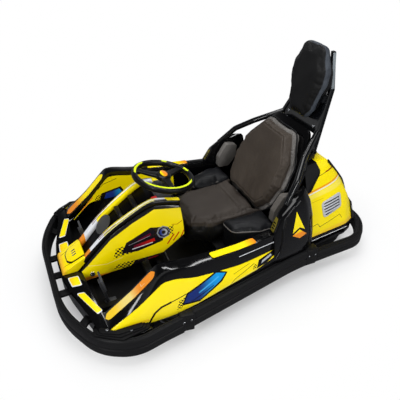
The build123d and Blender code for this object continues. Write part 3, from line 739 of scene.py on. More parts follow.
    @staticmethod
    def block(name: str, low: Point, high: Point, edge: float, segments: int = 3) -> Thing:
        """A box with rounded edges.

        Args:
            name: its name.
            low, high: two corners.
            edge, segments: the round's size and steps.

        Returns:
            The box.
        """
        Bench.clear()
        size = [b - a for a, b in zip(low, high)]
        bpy.ops.mesh.primitive_cube_add(size=1.0, location=[(a + b) / 2 for a, b in zip(low, high)], scale=size)
        return Bench.bevel(Bench.named(name), edge, segments)

    @staticmethod
    def bolt(name: str, spot: Point, way: Point, radius: float = 0.008) -> Thing:
        """A domed bolt head with a six-sided socket.

        Args:
            name: its name.
            spot: its place.
            way: the direction it looks.
            radius: its size.

        Returns:
            The head.
        """
        Bench.clear()
        turn = Vector((0, 0, 1)).rotation_difference(Vector(way)).to_euler()
        size = {"radius": radius, "depth": radius * 0.9}
        bpy.ops.mesh.primitive_cylinder_add(vertices=24, location=spot, rotation=turn, **size)
        obj = bpy.context.object
        bpy.ops.object.mode_set(mode="EDIT")
        bpy.ops.mesh.select_all(action="DESELECT")
        bpy.ops.object.mode_set(mode="OBJECT")
        for face in obj.data.polygons:
            face.select = face.normal.z > 0.9
        bpy.ops.object.mode_set(mode="EDIT")
        bpy.ops.mesh.inset(thickness=radius * 0.45, depth=radius * 0.12)
        sink = tuple(Vector(way).normalized() * -radius * 0.5)
        bpy.ops.mesh.extrude_region_move(TRANSFORM_OT_translate={"value": sink})
        bpy.ops.object.mode_set(mode="OBJECT")
        return Bench.bevel(Bench.named(name), radius * 0.1, 2)

    @staticmethod
    def join(name: str, parts: Sequence[Thing]) -> Thing:
        """Join objects into one mesh.

        Args:
            name: the whole's name.
            parts: the objects.

        Returns:
            The whole.
        """
        Bench.clear()
        for part in parts:
            part.select_set(True)
        bpy.context.view_layer.objects.active = parts[0]
        if len(parts) > 1:
            bpy.ops.object.join()
        parts[0].name = name
        parts[0].data.name = name
        return parts[0]

    @staticmethod
    def mirrored(obj: Thing, name: str) -> Thing:
        """Copy a piece to the other side of the kart.

        Args:
            obj: the piece.
            name: the copy's name.

        Returns:
            The copy.
        """
        twin = bpy.data.objects.new(name, obj.data.copy())
        twin.data.name = name
        bpy.context.scene.collection.objects.link(twin)
        twin.data.transform(Matrix.Diagonal((1, -1, 1, 1)))
        twin.data.flip_normals()
        return twin

    @staticmethod
    def swell(obj: Thing, voxel: float, pressure: float, cap: float) -> Thing:
        """Fill a pad from inside with a cloth simulation, then smooth it.

        Args:
            obj: the closed pad, a little under its size.
            voxel: the mesh size.
            pressure: how hard it is filled.
            cap: the farthest that a point may move.

        Returns:
            The same object.
        """
        Bench.apply(obj, "REMESH", {"mode": "VOXEL", "voxel_size": voxel})
        start = [vertex.co.copy() for vertex in obj.data.vertices]
        Bench.hold(obj)
        cloth = obj.modifiers.new("fill", "CLOTH")
        cloth.settings.use_pressure = True
        cloth.settings.uniform_pressure_force = pressure
        cloth.settings.effector_weights.gravity = 0.0
        cloth.settings.quality = 4
        for number in range(1, 21):
            bpy.context.scene.frame_set(number)
        bpy.ops.object.modifier_apply(modifier=cloth.name)
        bpy.context.scene.frame_set(1)
        for vertex, first in zip(obj.data.vertices, start):
            move = vertex.co - first
            if move.length > cap:
                vertex.co = first + move.normalized() * cap
        Bench.apply(obj, "SMOOTH", {"factor": 0.5, "iterations": 3})
        Bench.apply(obj, "SUBSURF", {"levels": 1, "render_levels": 1})
        return Bench.smooth(obj, 80)

    @staticmethod
    def press(obj: Thing, depth: Callable[[Vector], float]) -> Thing:
        """Push points in along their normals.

        Args:
            obj: the piece.
            depth: gives how far, from a point's place.

        Returns:
            The piece.
        """
        moves = [vertex.normal * -depth(vertex.co) for vertex in obj.data.vertices]
        for vertex, move in zip(obj.data.vertices, moves):
            vertex.co += move
        obj.data.update()
        return obj


def eased(stations: Sequence[tuple[float, Row]], steps: int) -> list[Row]:
    """Pass smooth sections through stations along the kart.

    Args:
        stations: pairs of x and points (y, z).
        steps: sections for each span.

    Returns:
        Rows of points (x, y, z).
    """
    flat = [[(x, y, z) for y, z in row] for x, row in stations]
    rows = []
    for index in range(len(flat) - 1):
        a, b = flat[max(index - 1, 0)], flat[index]
        c, d = flat[index + 1], flat[min(index + 2, len(flat) - 1)]
        for step in range(steps):
            t = step / steps
            rows.append([catmull(p, q, r, s, t) for p, q, r, s in zip(a, b, c, d)])
    rows.append(flat[-1])
    return rows


def catmull(p: Point, q: Point, r: Point, s: Point, t: float) -> Point:
    """A point on a soft curve from q to r.

    Args:
        p, q, r, s: four points in a row.
        t: the fraction along.

    Returns:
        The point.
    """
    made = []
    for a, b, c, d in zip(p, q, r, s):
        curve = 2 * b + (c - a) * t + (2 * a - 5 * b + 4 * c - d) * t * t + (3 * b - a - 3 * c + d) * t**3
        made.append(0.5 * curve * 0.6 + (b + (c - b) * t) * 0.4)
    return tuple(made)


def rounded(corners: Sequence[Point], closed: bool, steps: int = 10) -> list[tuple[float, float]]:
    """Round a flat outline's corners.

    Args:
        corners: triples of two coordinates and a corner radius.
        closed: whether the last corner meets the first.
        steps: points on each round.

    Returns:
        The points of the rounded outline.
    """
    made: list[tuple[float, float]] = []
    count = len(corners)
    for index, (u, v, radius) in enumerate(corners):
        if not closed and index in (0, count - 1) or radius <= 0:
            made.append((u, v))
            continue
        spot = Vector((u, v))
        to_last = Vector(corners[index - 1][:2]) - spot
        to_next = Vector(corners[(index + 1) % count][:2]) - spot
        half = to_last.angle(to_next) / 2
        run = min(radius / math.tan(half), to_last.length * 0.49, to_next.length * 0.49)
        a, b = spot + to_last.normalized() * run, spot + to_next.normalized() * run
        for step in range(steps + 1):
            t = step / steps
            point = a * (1 - t) ** 2 + spot * 2 * t * (1 - t) + b * t * t
            made.append((point.x, point.y))
    return made


def oblong(a: float, b: float, radius: float, steps: int) -> list[tuple[float, float]]:
    """A rounded oblong by its two half sizes."""
    return rounded([(a, b, radius), (-a, b, radius), (-a, -b, radius), (a, -b, radius)], True, steps)


def circle(radius: float, count: int = 12) -> list[tuple[float, float]]:
    """Points round a circle."""
    return [(radius * math.cos(math.tau * i / count), radius * math.sin(math.tau * i / count)) for i in range(count)]


class Finishes:
    """Every finish of the kart, made once and shared."""

    def __init__(self) -> None:
        """Make the materials that several pieces share."""
        self.gloss = Plastic("gloss_black", srgb(5, 5, 6), 0.1, 1.2, shine=0.3).make()
        self.satin = Plastic("bumper_satin", Hue.SATIN, 0.38, 0.0, 0.25, shine=0.16).make()
        self.frame = Plastic("frame_powder", srgb(14, 14, 16), 0.34, 0.1, 0.2, 500.0, 0.2).make()
        self.pan = Plastic("pan_black", srgb(12, 12, 13), 0.6, 0.0, 0.3, 300.0, 0.15).make()
        self.grey = Plastic("moulded_grey", Hue.GREY, 0.34, 0.2, 0.15).make()
        self.lime = Plastic("lime_inlay", Hue.LIME, 0.3, 0.4).make()
        self.yellow = Plastic("body_yellow", Hue.YELLOW, 0.2, 0.7).make()
        self.red = Plastic("red_switch", Hue.RED, 0.3, 0.3).make()
        self.coal = Leather("seat_black", srgb(12, 13, 15), srgb(24, 25, 29), 0.4).make()
        self.taupe = Leather("seat_taupe", srgb(92, 88, 84), srgb(118, 115, 112)).make()
        self.chrome = Metal("chrome", srgb(206, 208, 212), 0.16).make()
        self.steel = Metal("axle_steel", srgb(140, 142, 146), 0.34, 1.0, (1, 8, 1)).make()
        self.cast = Metal("drive_cast", srgb(110, 112, 116), 0.46).make()
        self.rim = Metal("rim_silver", srgb(168, 170, 174), 0.3).make()
        self.rubber = Rubber("tyre_black").make()


class Kart:
    """Collects the finished pieces and hands them to the frame."""

    def __init__(self) -> None:
        """Make the finishes."""
        self.finish = Finishes()

    def add(self, obj: Thing, material: Material, slot: str, *nodes: str, body: str = "kart") -> Thing:
        """Dress a piece, fix it to its body and hide the nodes it stands for.

        Args:
            obj: the piece.
            material: its finish.
            slot: its material slot in the record; not used.
            nodes: the nodes it replaces.
            body: the moving body it rides on.

        Returns:
            The piece.
        """
        obj.data.materials.clear()
        obj.data.materials.append(material)
        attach(obj, body)
        if nodes:
            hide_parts(*nodes)
        LOG.info("%s on %s, %d faces", obj.name, body, len(obj.data.polygons))
        return obj

    def dress(
        self, node: str, name: str, edge: tuple, material: Material, slot: str, body: str = "kart"
    ) -> Thing:
        """Add a copy of a node's solid, its edges rounded, in the node's place."""
        return self.add(Bench.bevel(Bench.cad_copy(node, name), *edge), material, slot, node, body=body)

    def pair(self, obj: Thing, material: Material, slot: str, *nodes: str) -> tuple[Thing, Thing]:
        """Add a left piece and its twin on the right.

        Args:
            obj: the left piece, its name ending in _left.
            material: the finish of both.
            slot: the material slot of both.
            nodes: the left nodes, each with a right twin.

        Returns:
            The two pieces.
        """
        twin = Bench.mirrored(obj, obj.name.replace("_left", "_right"))
        rights = [node.replace("_left", "_right") for node in nodes]
        return self.add(obj, material, slot, *nodes), self.add(twin, material, slot, *rights)


@dataclass
class Bumper:
    """The ring of bumper round the kart, in four lengths."""

    kart: Kart
    low: float = 0.073
    high: float = 0.187
    rear_high: float = 0.15
    front_wall: float = 0.032
    side_wall: float = 0.045
    split_front: float = 0.385
    split_rear: float = -0.43
    step: float = 0.05

    def plan(self) -> list[tuple[float, float]]:
        """The outer line of the whole ring, from the front round by the left.

        Returns:
            Its points.
        """
        half = ((0.934, 0.285, 0.7), (0.813, 0.5285, 0.3), (0.6527, 0.6117, 0.23), (-0.353, 0.44, 1.5))
        half += trios(-800, 432, 180, -934, 290, 250)
        twin = tuple((x, -y, radius) for x, y, radius in reversed(half))
        return rounded(half + twin, True, 14)

    def outline(self, wall: float, high: float) -> list[tuple[float, float]]:
        """The section: a ridged outer face and a groove along the top.

        Args:
            wall: its thickness.
            high: its top.

        Returns:
            Its points.
        """
        low = self.low
        middle = (low + high) / 2
        points = [(0.008, low), (wall - 0.008, low), (wall, low + 0.008), (wall, high - 0.01), (wall - 0.01, high)]
        points += [(wall * 0.55, high), (wall * 0.5, high - 0.004), (wall * 0.42, high - 0.004), (wall * 0.37, high)]
        points += [(0.011, high), (0.003, high - 0.006), (0.0, high - 0.014), (0.0, middle + 0.012)]
        points += [(0.004, middle + 0.008), (0.004, middle - 0.004), (0.0, middle - 0.008), (0.0, low + 0.01)]
        return points

    def build(self) -> None:
        """Sweep the four lengths and bolt them together."""
        kart = self.kart
        line = self.plan()
        ring = []
        for a, b in zip(line, line[1:] + line[:1]):
            steps = max(1, int(math.dist(a, b) / self.step))
            ring += [(a[0] + (b[0] - a[0]) * i / steps, a[1] + (b[1] - a[1]) * i / steps) for i in range(steps)]
        first = next(i for i in range(len(ring)) if ring[i][1] < 0 <= ring[i + 1 - len(ring)][1])
        ring = ring[first + 1:] + ring[: first + 1]
        left = [point for point in ring if point[1] >= 0]
        cuts = {"front": [], "side": [], "rear": []}
        for a, b in zip(left, left[1:]):
            cuts[self.part(a)].append(a)
            if self.part(a) != self.part(b):
                x = self.split_front if self.part(a) == "front" else self.split_rear
                meet = (x, between(a[1], b[1], (x - a[0]) / (b[0] - a[0])))
                cuts[self.part(a)].append(meet)
                cuts[self.part(b)].append(meet)
        cuts["rear"].append(left[-1])
        front = [(x, -y) for x, y in reversed(cuts["front"])] + cuts["front"][1:]
        rear = cuts["rear"] + [(x, -y) for x, y in reversed(cuts["rear"][:-1])]
        satin = kart.finish.satin
        front_rail = self.length("front_bumper_rail", front, self.front_wall, self.high)
        kart.add(front_rail, satin, "bumper_black", "front_bumper")
        rear_rail = self.length("rear_bumper_rail", rear, self.side_wall, self.rear_high)
        kart.add(rear_rail, satin, "bumper_black", "rear_bumper")
        side = self.length("side_bumper_rail_left", cuts["side"], self.side_wall, self.high)
        kart.pair(side, satin, "bumper_black", "side_bumper_left")
        self.joints(cuts["side"])

    def part(self, point: Point) -> str:
        """Which length a point of the ring lies on.

        Args:
            point: the point.

        Returns:
            The length's name.
        """
        if point[0] > self.split_front:
            return "front"
        return "side" if point[0] > self.split_rear else "rear"

    def length(self, name: str, path: Sequence[Point], wall: float, high: float) -> Thing:
        """Sweep one length of the ring, its section hung inwards from the outer line.

        Args:
            name: its name.
            path: the outer line.
            wall: its thickness.
            high: its top.

        Returns:
            The length.
        """
        rows = [(x, y, 0.0) for x, y in path]
        obj = Bench.sweep(name, rows, [(-a, b) for a, b in self.outline(wall, high)])
        return Bench.bevel(obj, 0.0015, 2, 25)

    def joints(self, side: Sequence[Point]) -> None:
        """Clamp plates and bolts where the lengths meet.

        Args:
            side: the side length's line.
        """
        parts, heads = [], []
        for (x, y), turn in ((side[0], 0.17), (side[-1], 0.03)):
            low, high = (x - 0.035, y - 0.0475, 0.08), (x + 0.035, y + 0.003, self.high + 0.0025)
            plate = Bench.block("clamp", low, high, 0.004)
            Bench.hold(plate)
            bpy.ops.transform.rotate(value=turn, orient_axis="Z", center_override=(x, y, 0.13))
            bpy.ops.object.transform_apply(location=True, rotation=True, scale=True)
            parts.append(plate)
            for shift in (-0.02, 0.02):
                heads.append(Bench.bolt("head", (x + shift, y + 0.004, 0.15), (0, 1, 0), 0.006))
        kart = self.kart
        kart.pair(Bench.join("bumper_clamps_left", parts), kart.finish.satin, "bumper_black")
        kart.pair(Bench.join("bumper_clamp_bolts_left", heads), kart.finish.chrome, "column_steel")


@dataclass
class FrontFairing:
    """The black front bar round the footwells, its inlays, the nose block and the corner mouldings."""

    kart: Kart
    top: float = 0.205
    strip: float = 0.0022
    ring_top: float = 0.186

    def build(self) -> None:
        """Make the bar, its inlays, the nose block and the corners."""
        kart = self.kart
        kart.dress("front_fairing", "front_bar", (0.006, 3, 40), kart.finish.gloss, "gloss_black")
        kart.dress("front_bars", "front_struts", (0.003, 2, 40), kart.finish.satin, "bumper_black")
        self.inlays()
        self.nose()
        self.corners()

    def inlays(self) -> None:
        """Yellow square and long strip on each half of the bar, each on a white rim."""
        kart = self.kart
        square = pairs(846, 106, 793, 110, 789, 184, 838, 177)
        strip = pairs(829, 228, 792, 234, 738, 386, 765, 398)
        rims, fills = [], []
        for shape in (square, strip):
            rims.append(self.inlay("rim", shape, 0.0, self.strip * 0.6))
            fills.append(self.inlay("fill", shape, 0.005, self.strip))
        white = Plastic("inlay_white", Hue.WHITE, 0.22, 0.5).make()
        paint = Plastic("inlay_yellow", Hue.YELLOW, 0.2, 0.6, plane=Plane.TOP, layers=(
            Patch(Hue.YELLOW, pairs(700, -600, 900, -600, 900, 600, 700, 600), (0.8, 0.85, srgb(246, 196, 30))),
        )).make()
        kart.pair(Bench.join("front_inlay_rims_left", rims), white, "rail_white")
        kart.pair(Bench.join("front_inlays_left", fills), paint, "body_yellow")

    def inlay(self, name: str, shape: Sequence[Point], shrink: float, height: float) -> Thing:
        """A thin plate on the bar's top face with softened corners.

        Args:
            name: the plate's name.
            shape: its four corners.
            shrink: how far it is drawn in.
            height: how far it stands up.

        Returns:
            The plate.
        """
        middle = (sum(p[0] for p in shape) / 4, sum(p[1] for p in shape) / 4)
        line = rounded(drawn_in(shape, middle, shrink * 1.3, 0.008), True, 4)
        return Bench.plate(name, [(x, y, self.top - 0.001) for x, y in line], (0, 0, height + 0.001), 0.0006)

    def nose(self) -> None:
        """The yellow nose block, with a raised tongue inside a black outline."""
        kart = self.kart
        lines = (
            Stroke(Hue.BLACK, pairs(868, -45, 800, -52), 0.003),
            Stroke(Hue.BLACK, pairs(868, 45, 800, 52), 0.003),
            Patch(srgb(246, 190, 40), pairs(845, -100, 880, -100, 880, 100, 845, 100), soft=0.012),
        )
        paint = Plastic("nose_yellow", Hue.YELLOW, 0.2, 0.7, plane=Plane.TOP, layers=lines).make()
        kart.dress("nose_block", "nose_shell", (0.005, 3, 25), paint, "body_yellow")
        rise = Vector((0.12, 0, -0.062)).normalized()
        up = Vector((0.062, 0, 0.12)).normalized()
        root = Vector((0.736, 0, 0.2885))
        shape = trios(0, -66, 4, 85, -58, 22, 104, -30, 18, 104, 30, 18)
        shape += trios(85, 58, 22, 0, 66, 4)
        for name, shrink, height, finish, slot in (
            ("nose_tongue_line", 0.0, 0.0016, kart.finish.gloss, "gloss_black"),
            ("nose_tongue", 0.007, 0.0065, kart.finish.yellow, "body_yellow"),
        ):
            corners = []
            for a, b, radius in shape:
                corners.append((max(a - shrink, 0.0), b - math.copysign(shrink, b), radius))
            points = [root + rise * a + Vector((0, b, 0)) - up * 0.001 for a, b in rounded(corners, True, 5)]
            plate = Bench.plate(name, points, up * (height + 0.001), 0.0014)
            kart.add(plate, finish, slot)
        slots = []
        for y in (-0.018, 0.0, 0.018):
            spot = root + rise * 0.05 + up * 0.0068 + Vector((0, y, 0))
            corner = [spot + rise * a + Vector((0, b, 0)) for a, b in pairs(-12, -4, 12, -4, 12, 4, -12, 4)]
            slots.append(Bench.plate("mark", corner, up * -0.002, 0.0004))
        kart.add(Bench.join("nose_marks", slots), kart.finish.chrome, "column_steel")

    def corners(self) -> None:
        """Stepped black mouldings over the front corners of the ring."""
        kart = self.kart
        outline = pairs(800, 455, 818, 497, 700, 578, 566, 562, 560, 528, 735, 505)
        parts = []
        for shrink, top in pairs(0, 196, 16, 203, 30, 210):
            line = rounded(drawn_in(outline, (0.72, 0.525), shrink, 0.02), True, 5)
            shape = [(x, y, self.ring_top) for x, y in line]
            parts.append(Bench.plate("step", shape, (0, 0, top - self.ring_top), 0.003))
        kart.pair(Bench.join("corner_moulding_left", parts), kart.finish.pan, "gloss_black")
        heads = [Bench.bolt("head", spot, (0, 0, 1), 0.007) for spot in trios(650, 548, 205, 752, 508, 211)]
        kart.pair(Bench.join("corner_bolts_left", heads), kart.finish.steel, "column_steel")


@dataclass
class Cowl:
    """The steering cowl: two painted sides, two rails and the black deck between them."""

    kart: Kart
    stations: tuple = spots(
        5, 772, 100, 140, 88, 212, 735, 106, 150, 86, 250, 600, 132, 182, 95, 385,
        480, 155, 210, 108, 465, 370, 172, 238, 120, 520, 230, 180, 340, 130, 495,
    )
    rail_width: float = 0.04
    rail_height: float = 0.025
    disc_radius: float = 0.054

    def build(self) -> None:
        """Make the sides, the rails, the deck and what sits on it."""
        self.sides()
        self.rails()
        self.deck()

    def sides(self) -> None:
        """Bowed yellow side panels with a black upper border and plain graphics."""
        kart = self.kart
        table = []
        for x, foot_y, foot_z, deck_y, deck_z in self.stations:
            row = []
            for step in range(9):
                t = step / 8
                bow = 0.01 * math.sin(math.pi * t)
                y, z = blend((foot_y, foot_z), (deck_y, deck_z), t)
                row.append((y + bow, z))
            table.append((x, row))
        panel = Bench.skin("cowl_panel_left", eased(table, 6), out=(0, 1, 0))
        panel = Bench.bevel(Bench.wall(panel, 0.006), 0.002, 2, 50)
        ink = srgb(26, 20, 26)
        layers = (
            Patch(srgb(250, 226, 20), pairs(200, 300, 500, 440, 420, 520, 200, 520), soft=0.05),
            Patch(Hue.ORANGE, pairs(780, 120, 780, 172, 420, 186, 420, 120), soft=0.006),
            Stroke(srgb(252, 236, 140), pairs(745, 236, 640, 236, 560, 262), 0.0022),
            Patch(ink, pairs(606, 262, 585, 318, 500, 338, 510, 282), check=0.011),
            Patch(ink, pairs(562, 284, 530, 344, 400, 412, 330, 404, 346, 326, 480, 286)),
            Patch(Hue.RED, pairs(500, 306, 494, 324, 388, 350, 386, 332), (0.4, 0.5, Hue.MAROON)),
            Stroke(Hue.WHITE, pairs(505, 303, 400, 326), 0.004),
            Patch(Hue.MAROON, pairs(480, 342, 466, 356, 405, 382, 402, 368)),
            Stroke(srgb(150, 150, 156), pairs(520, 328, 410, 366), 0.002),
            Patch(srgb(130, 136, 150), self.eight(0.338, 0.374, 0.036)),
            Patch(ink, self.eight(0.338, 0.374, 0.029)),
            Patch(Hue.SILVER, self.eight(0.338, 0.374, 0.022), (0.32, 0.356, Hue.BLUE)),
            Patch(ink, self.eight(0.338, 0.374, 0.011)),
            Patch(ink, pairs(318, 352, 312, 398, 282, 402, 290, 352), check=0.009),
            Patch(ink, pairs(612, 196, 590, 222, 500, 234, 500, 190), check=0.01),
            Patch(ink, pairs(520, 196, 500, 232, 330, 254, 318, 232, 400, 200)),
            Patch(Hue.RED, pairs(440, 214, 430, 232, 360, 240, 366, 222), (0.37, 0.43, Hue.MAROON)),
            Stroke(srgb(200, 60, 16), pairs(323, 300, 286, 350), 0.007),
            Stroke(srgb(200, 60, 16), pairs(290, 314, 258, 356), 0.007),
            Stroke(srgb(200, 60, 16), pairs(253, 318, 232, 362), 0.006),
            Stroke(srgb(150, 40, 10), pairs(290, 408, 262, 404, 236, 418), 0.003),
            Patch(Hue.BLACK, pairs(790, 190, 790, 400, 600, 500, 600, 369, 735, 236), soft=0.0012),
            Patch(Hue.BLACK, pairs(601, 368, 601, 600, 480, 600, 480, 447), soft=0.0012),
            Patch(Hue.BLACK, pairs(481, 446, 481, 600, 370, 600, 370, 504), soft=0.0012),
            Patch(Hue.BLACK, pairs(371, 504, 371, 600, 220, 600, 220, 480), soft=0.0012),
        )
        paint = Plastic("cowl_yellow", Hue.YELLOW, 0.19, 0.7, layers=layers).make()
        kart.pair(panel, paint, "body_yellow", "cowl_side_left")
        washer = Bench.bolt("washer", (0.722, 0.1125, 0.191), (0.1, 1, 0.15), 0.013)
        kart.pair(Bench.join("cowl_bolt_left", [washer]), kart.finish.chrome, "column_steel")

    @staticmethod
    def eight(x: float, z: float, reach: float) -> tuple[Point, ...]:
        """The corners of an eight-sided mark."""
        return tuple((x + reach * math.cos(math.pi * k / 4), z + reach * math.sin(math.pi * k / 4)) for k in range(8))

    def rail_path(self) -> list[Point]:
        """The middle line of the left rail, on the deck's edge."""
        table = [(x, [(deck_y - 0.002 - self.rail_width / 2, deck_z)]) for x, _, _, deck_y, deck_z in self.stations[1:]]
        return [row[0] for row in eased(table, 8)]

    def rails(self) -> None:
        """Raised rails, painted along their length from an orange tip to yellow and white lines."""
        kart = self.kart
        half, high = self.rail_width / 2, self.rail_height
        outline = [(-half, 0.0), (half, 0.0), (half, high * 0.55), (half * 0.8, high * 0.9), (half * 0.45, high)]
        outline += [(-half * 0.45, high), (-half * 0.8, high * 0.9), (-half, high * 0.55)]
        path = self.rail_path()
        lead = [(0.746, path[0][1] + 0.001, path[0][2] - 0.014)]
        path = lead + path
        widths = [0.55] + [0.9] + [1.0] * (len(path) - 2)
        rail = Bench.sweep("cowl_rail_top_left", path, outline, (0, 0, 1), False, widths)
        rail = Bench.bevel(rail, 0.0025, 2, 30)
        kart.pair(rail, self.rail_paint(), "rail_white", "cowl_rail_left")

    def rail_paint(self) -> Material:
        """The rail's paint: bands along the kart, with fine lines that keep to the rail's run.

        Returns:
            The material.
        """
        shade = Shade("rail_paint")
        x, y = shade.axes(Plane.TOP)
        edge = x * -0.0893 + 0.1475
        across = abs(y) - edge + 0.018
        colour: object = shade.mix(x.rise(0.3, 0.36), Hue.YELLOW, srgb(246, 238, 150))
        bands = (
            (0.0, 0.0068, 0.2, 0.63, Hue.YELLOW), (0.0085, 0.011, 0.2, 0.66, Hue.BLACK),
            (-0.0085, -0.0065, 0.32, 0.66, Hue.BLACK),
            (-0.002, 0.004, 0.36, 0.64, Hue.WHITE), (-0.03, -0.0085, 0.36, 0.64, Hue.YELLOW),
            (-0.03, 0.03, 0.3, 0.352, Hue.WHITE),
            (0.004, 0.03, 0.29, 0.36, srgb(60, 60, 62)), (-0.03, 0.03, 0.16, 0.294, Hue.YELLOW),
            (-0.03, 0.03, 0.628, 0.655, Hue.WHITE), (0.002, 0.0065, 0.56, 0.655, Hue.MAROON),
            (-0.01, -0.0055, 0.6, 0.655, Hue.MAROON),
            (-0.03, 0.03, 0.655, 0.706, Hue.WHITE), (-0.03, 0.03, 0.706, 0.8, Hue.ORANGE),
            (0.0135, 0.05, 0.2, 0.8, Hue.BLACK),
        )
        for low, high, start, end, paint in bands:
            inside = (across - low).least(high - across).rise(-0.0005, 0.0005)
            along = (x - start).least(end - x).rise(-0.001, 0.001)
            colour = shade.mix(inside * along, colour, paint)
        rough = shade.noise(50.0).rise(0.2, 0.8) * 0.06 + 0.16
        return shade.surface({"Base Color": colour, "Roughness": rough, "Coat Weight": 0.2, "Specular IOR Level": 0.25})

    def deck(self) -> None:
        """The black deck between the rails, a grey shroud round the column and the blank disc."""
        kart = self.kart
        black = Plastic("deck_black", srgb(3, 3, 4), 0.3, 0.1, shine=0.06).make()
        kart.dress("cowl_deck", "cowl_deck_panel", (0.004, 2, 30), black, "gloss_black")
        Bench.clear()
        bpy.ops.mesh.primitive_cylinder_add(
            vertices=64, radius=self.disc_radius, depth=0.006, location=(0.61, 0, 0.399), rotation=(0, 0.8, 0)
        )
        disc = Bench.bevel(Bench.named("cowl_disc"), 0.0015, 2, 40)
        face = Plastic("disc_grey", srgb(62, 62, 61), 0.34, 0.2, shine=0.15).make()
        kart.add(disc, face, "disc_grey", "number_disc")
        axis = Vector((-0.2079, 0, 0.9781))
        ahead = Vector((0.9781, 0, 0.2079))
        rows = []
        for along, wide, deep in trios(-165, 62, 50, -140, 60, 46, -70, 54, 40, -50, 46, 34):
            centre = Vector((0.266, 0, 0.6025)) + axis * along
            ring = oblong(deep, wide, 0.016, 4)
            rows.append([tuple(centre + ahead * a + Vector((0, b, 0))) for a, b in ring])
        shroud = Bench.bevel(Bench.skin("column_shroud", rows, ring=True, caps=True), 0.002, 2, 30)
        kart.add(shroud, kart.finish.grey, "disc_grey")
        ribs = []
        for x, z in pairs(440, 492, 520, 444):
            ribs.append(Bench.block("rib", (x - 0.012, -0.06, z - 0.02), (x + 0.012, 0.06, z + 0.008), 0.004))
        kart.add(Bench.join("deck_ribs", ribs), kart.finish.frame, "frame_black")
        key = Bench.block("start_switch", (0.332, 0.062, 0.512), (0.362, 0.086, 0.54), 0.004)
        kart.add(key, kart.finish.red, "disc_grey")


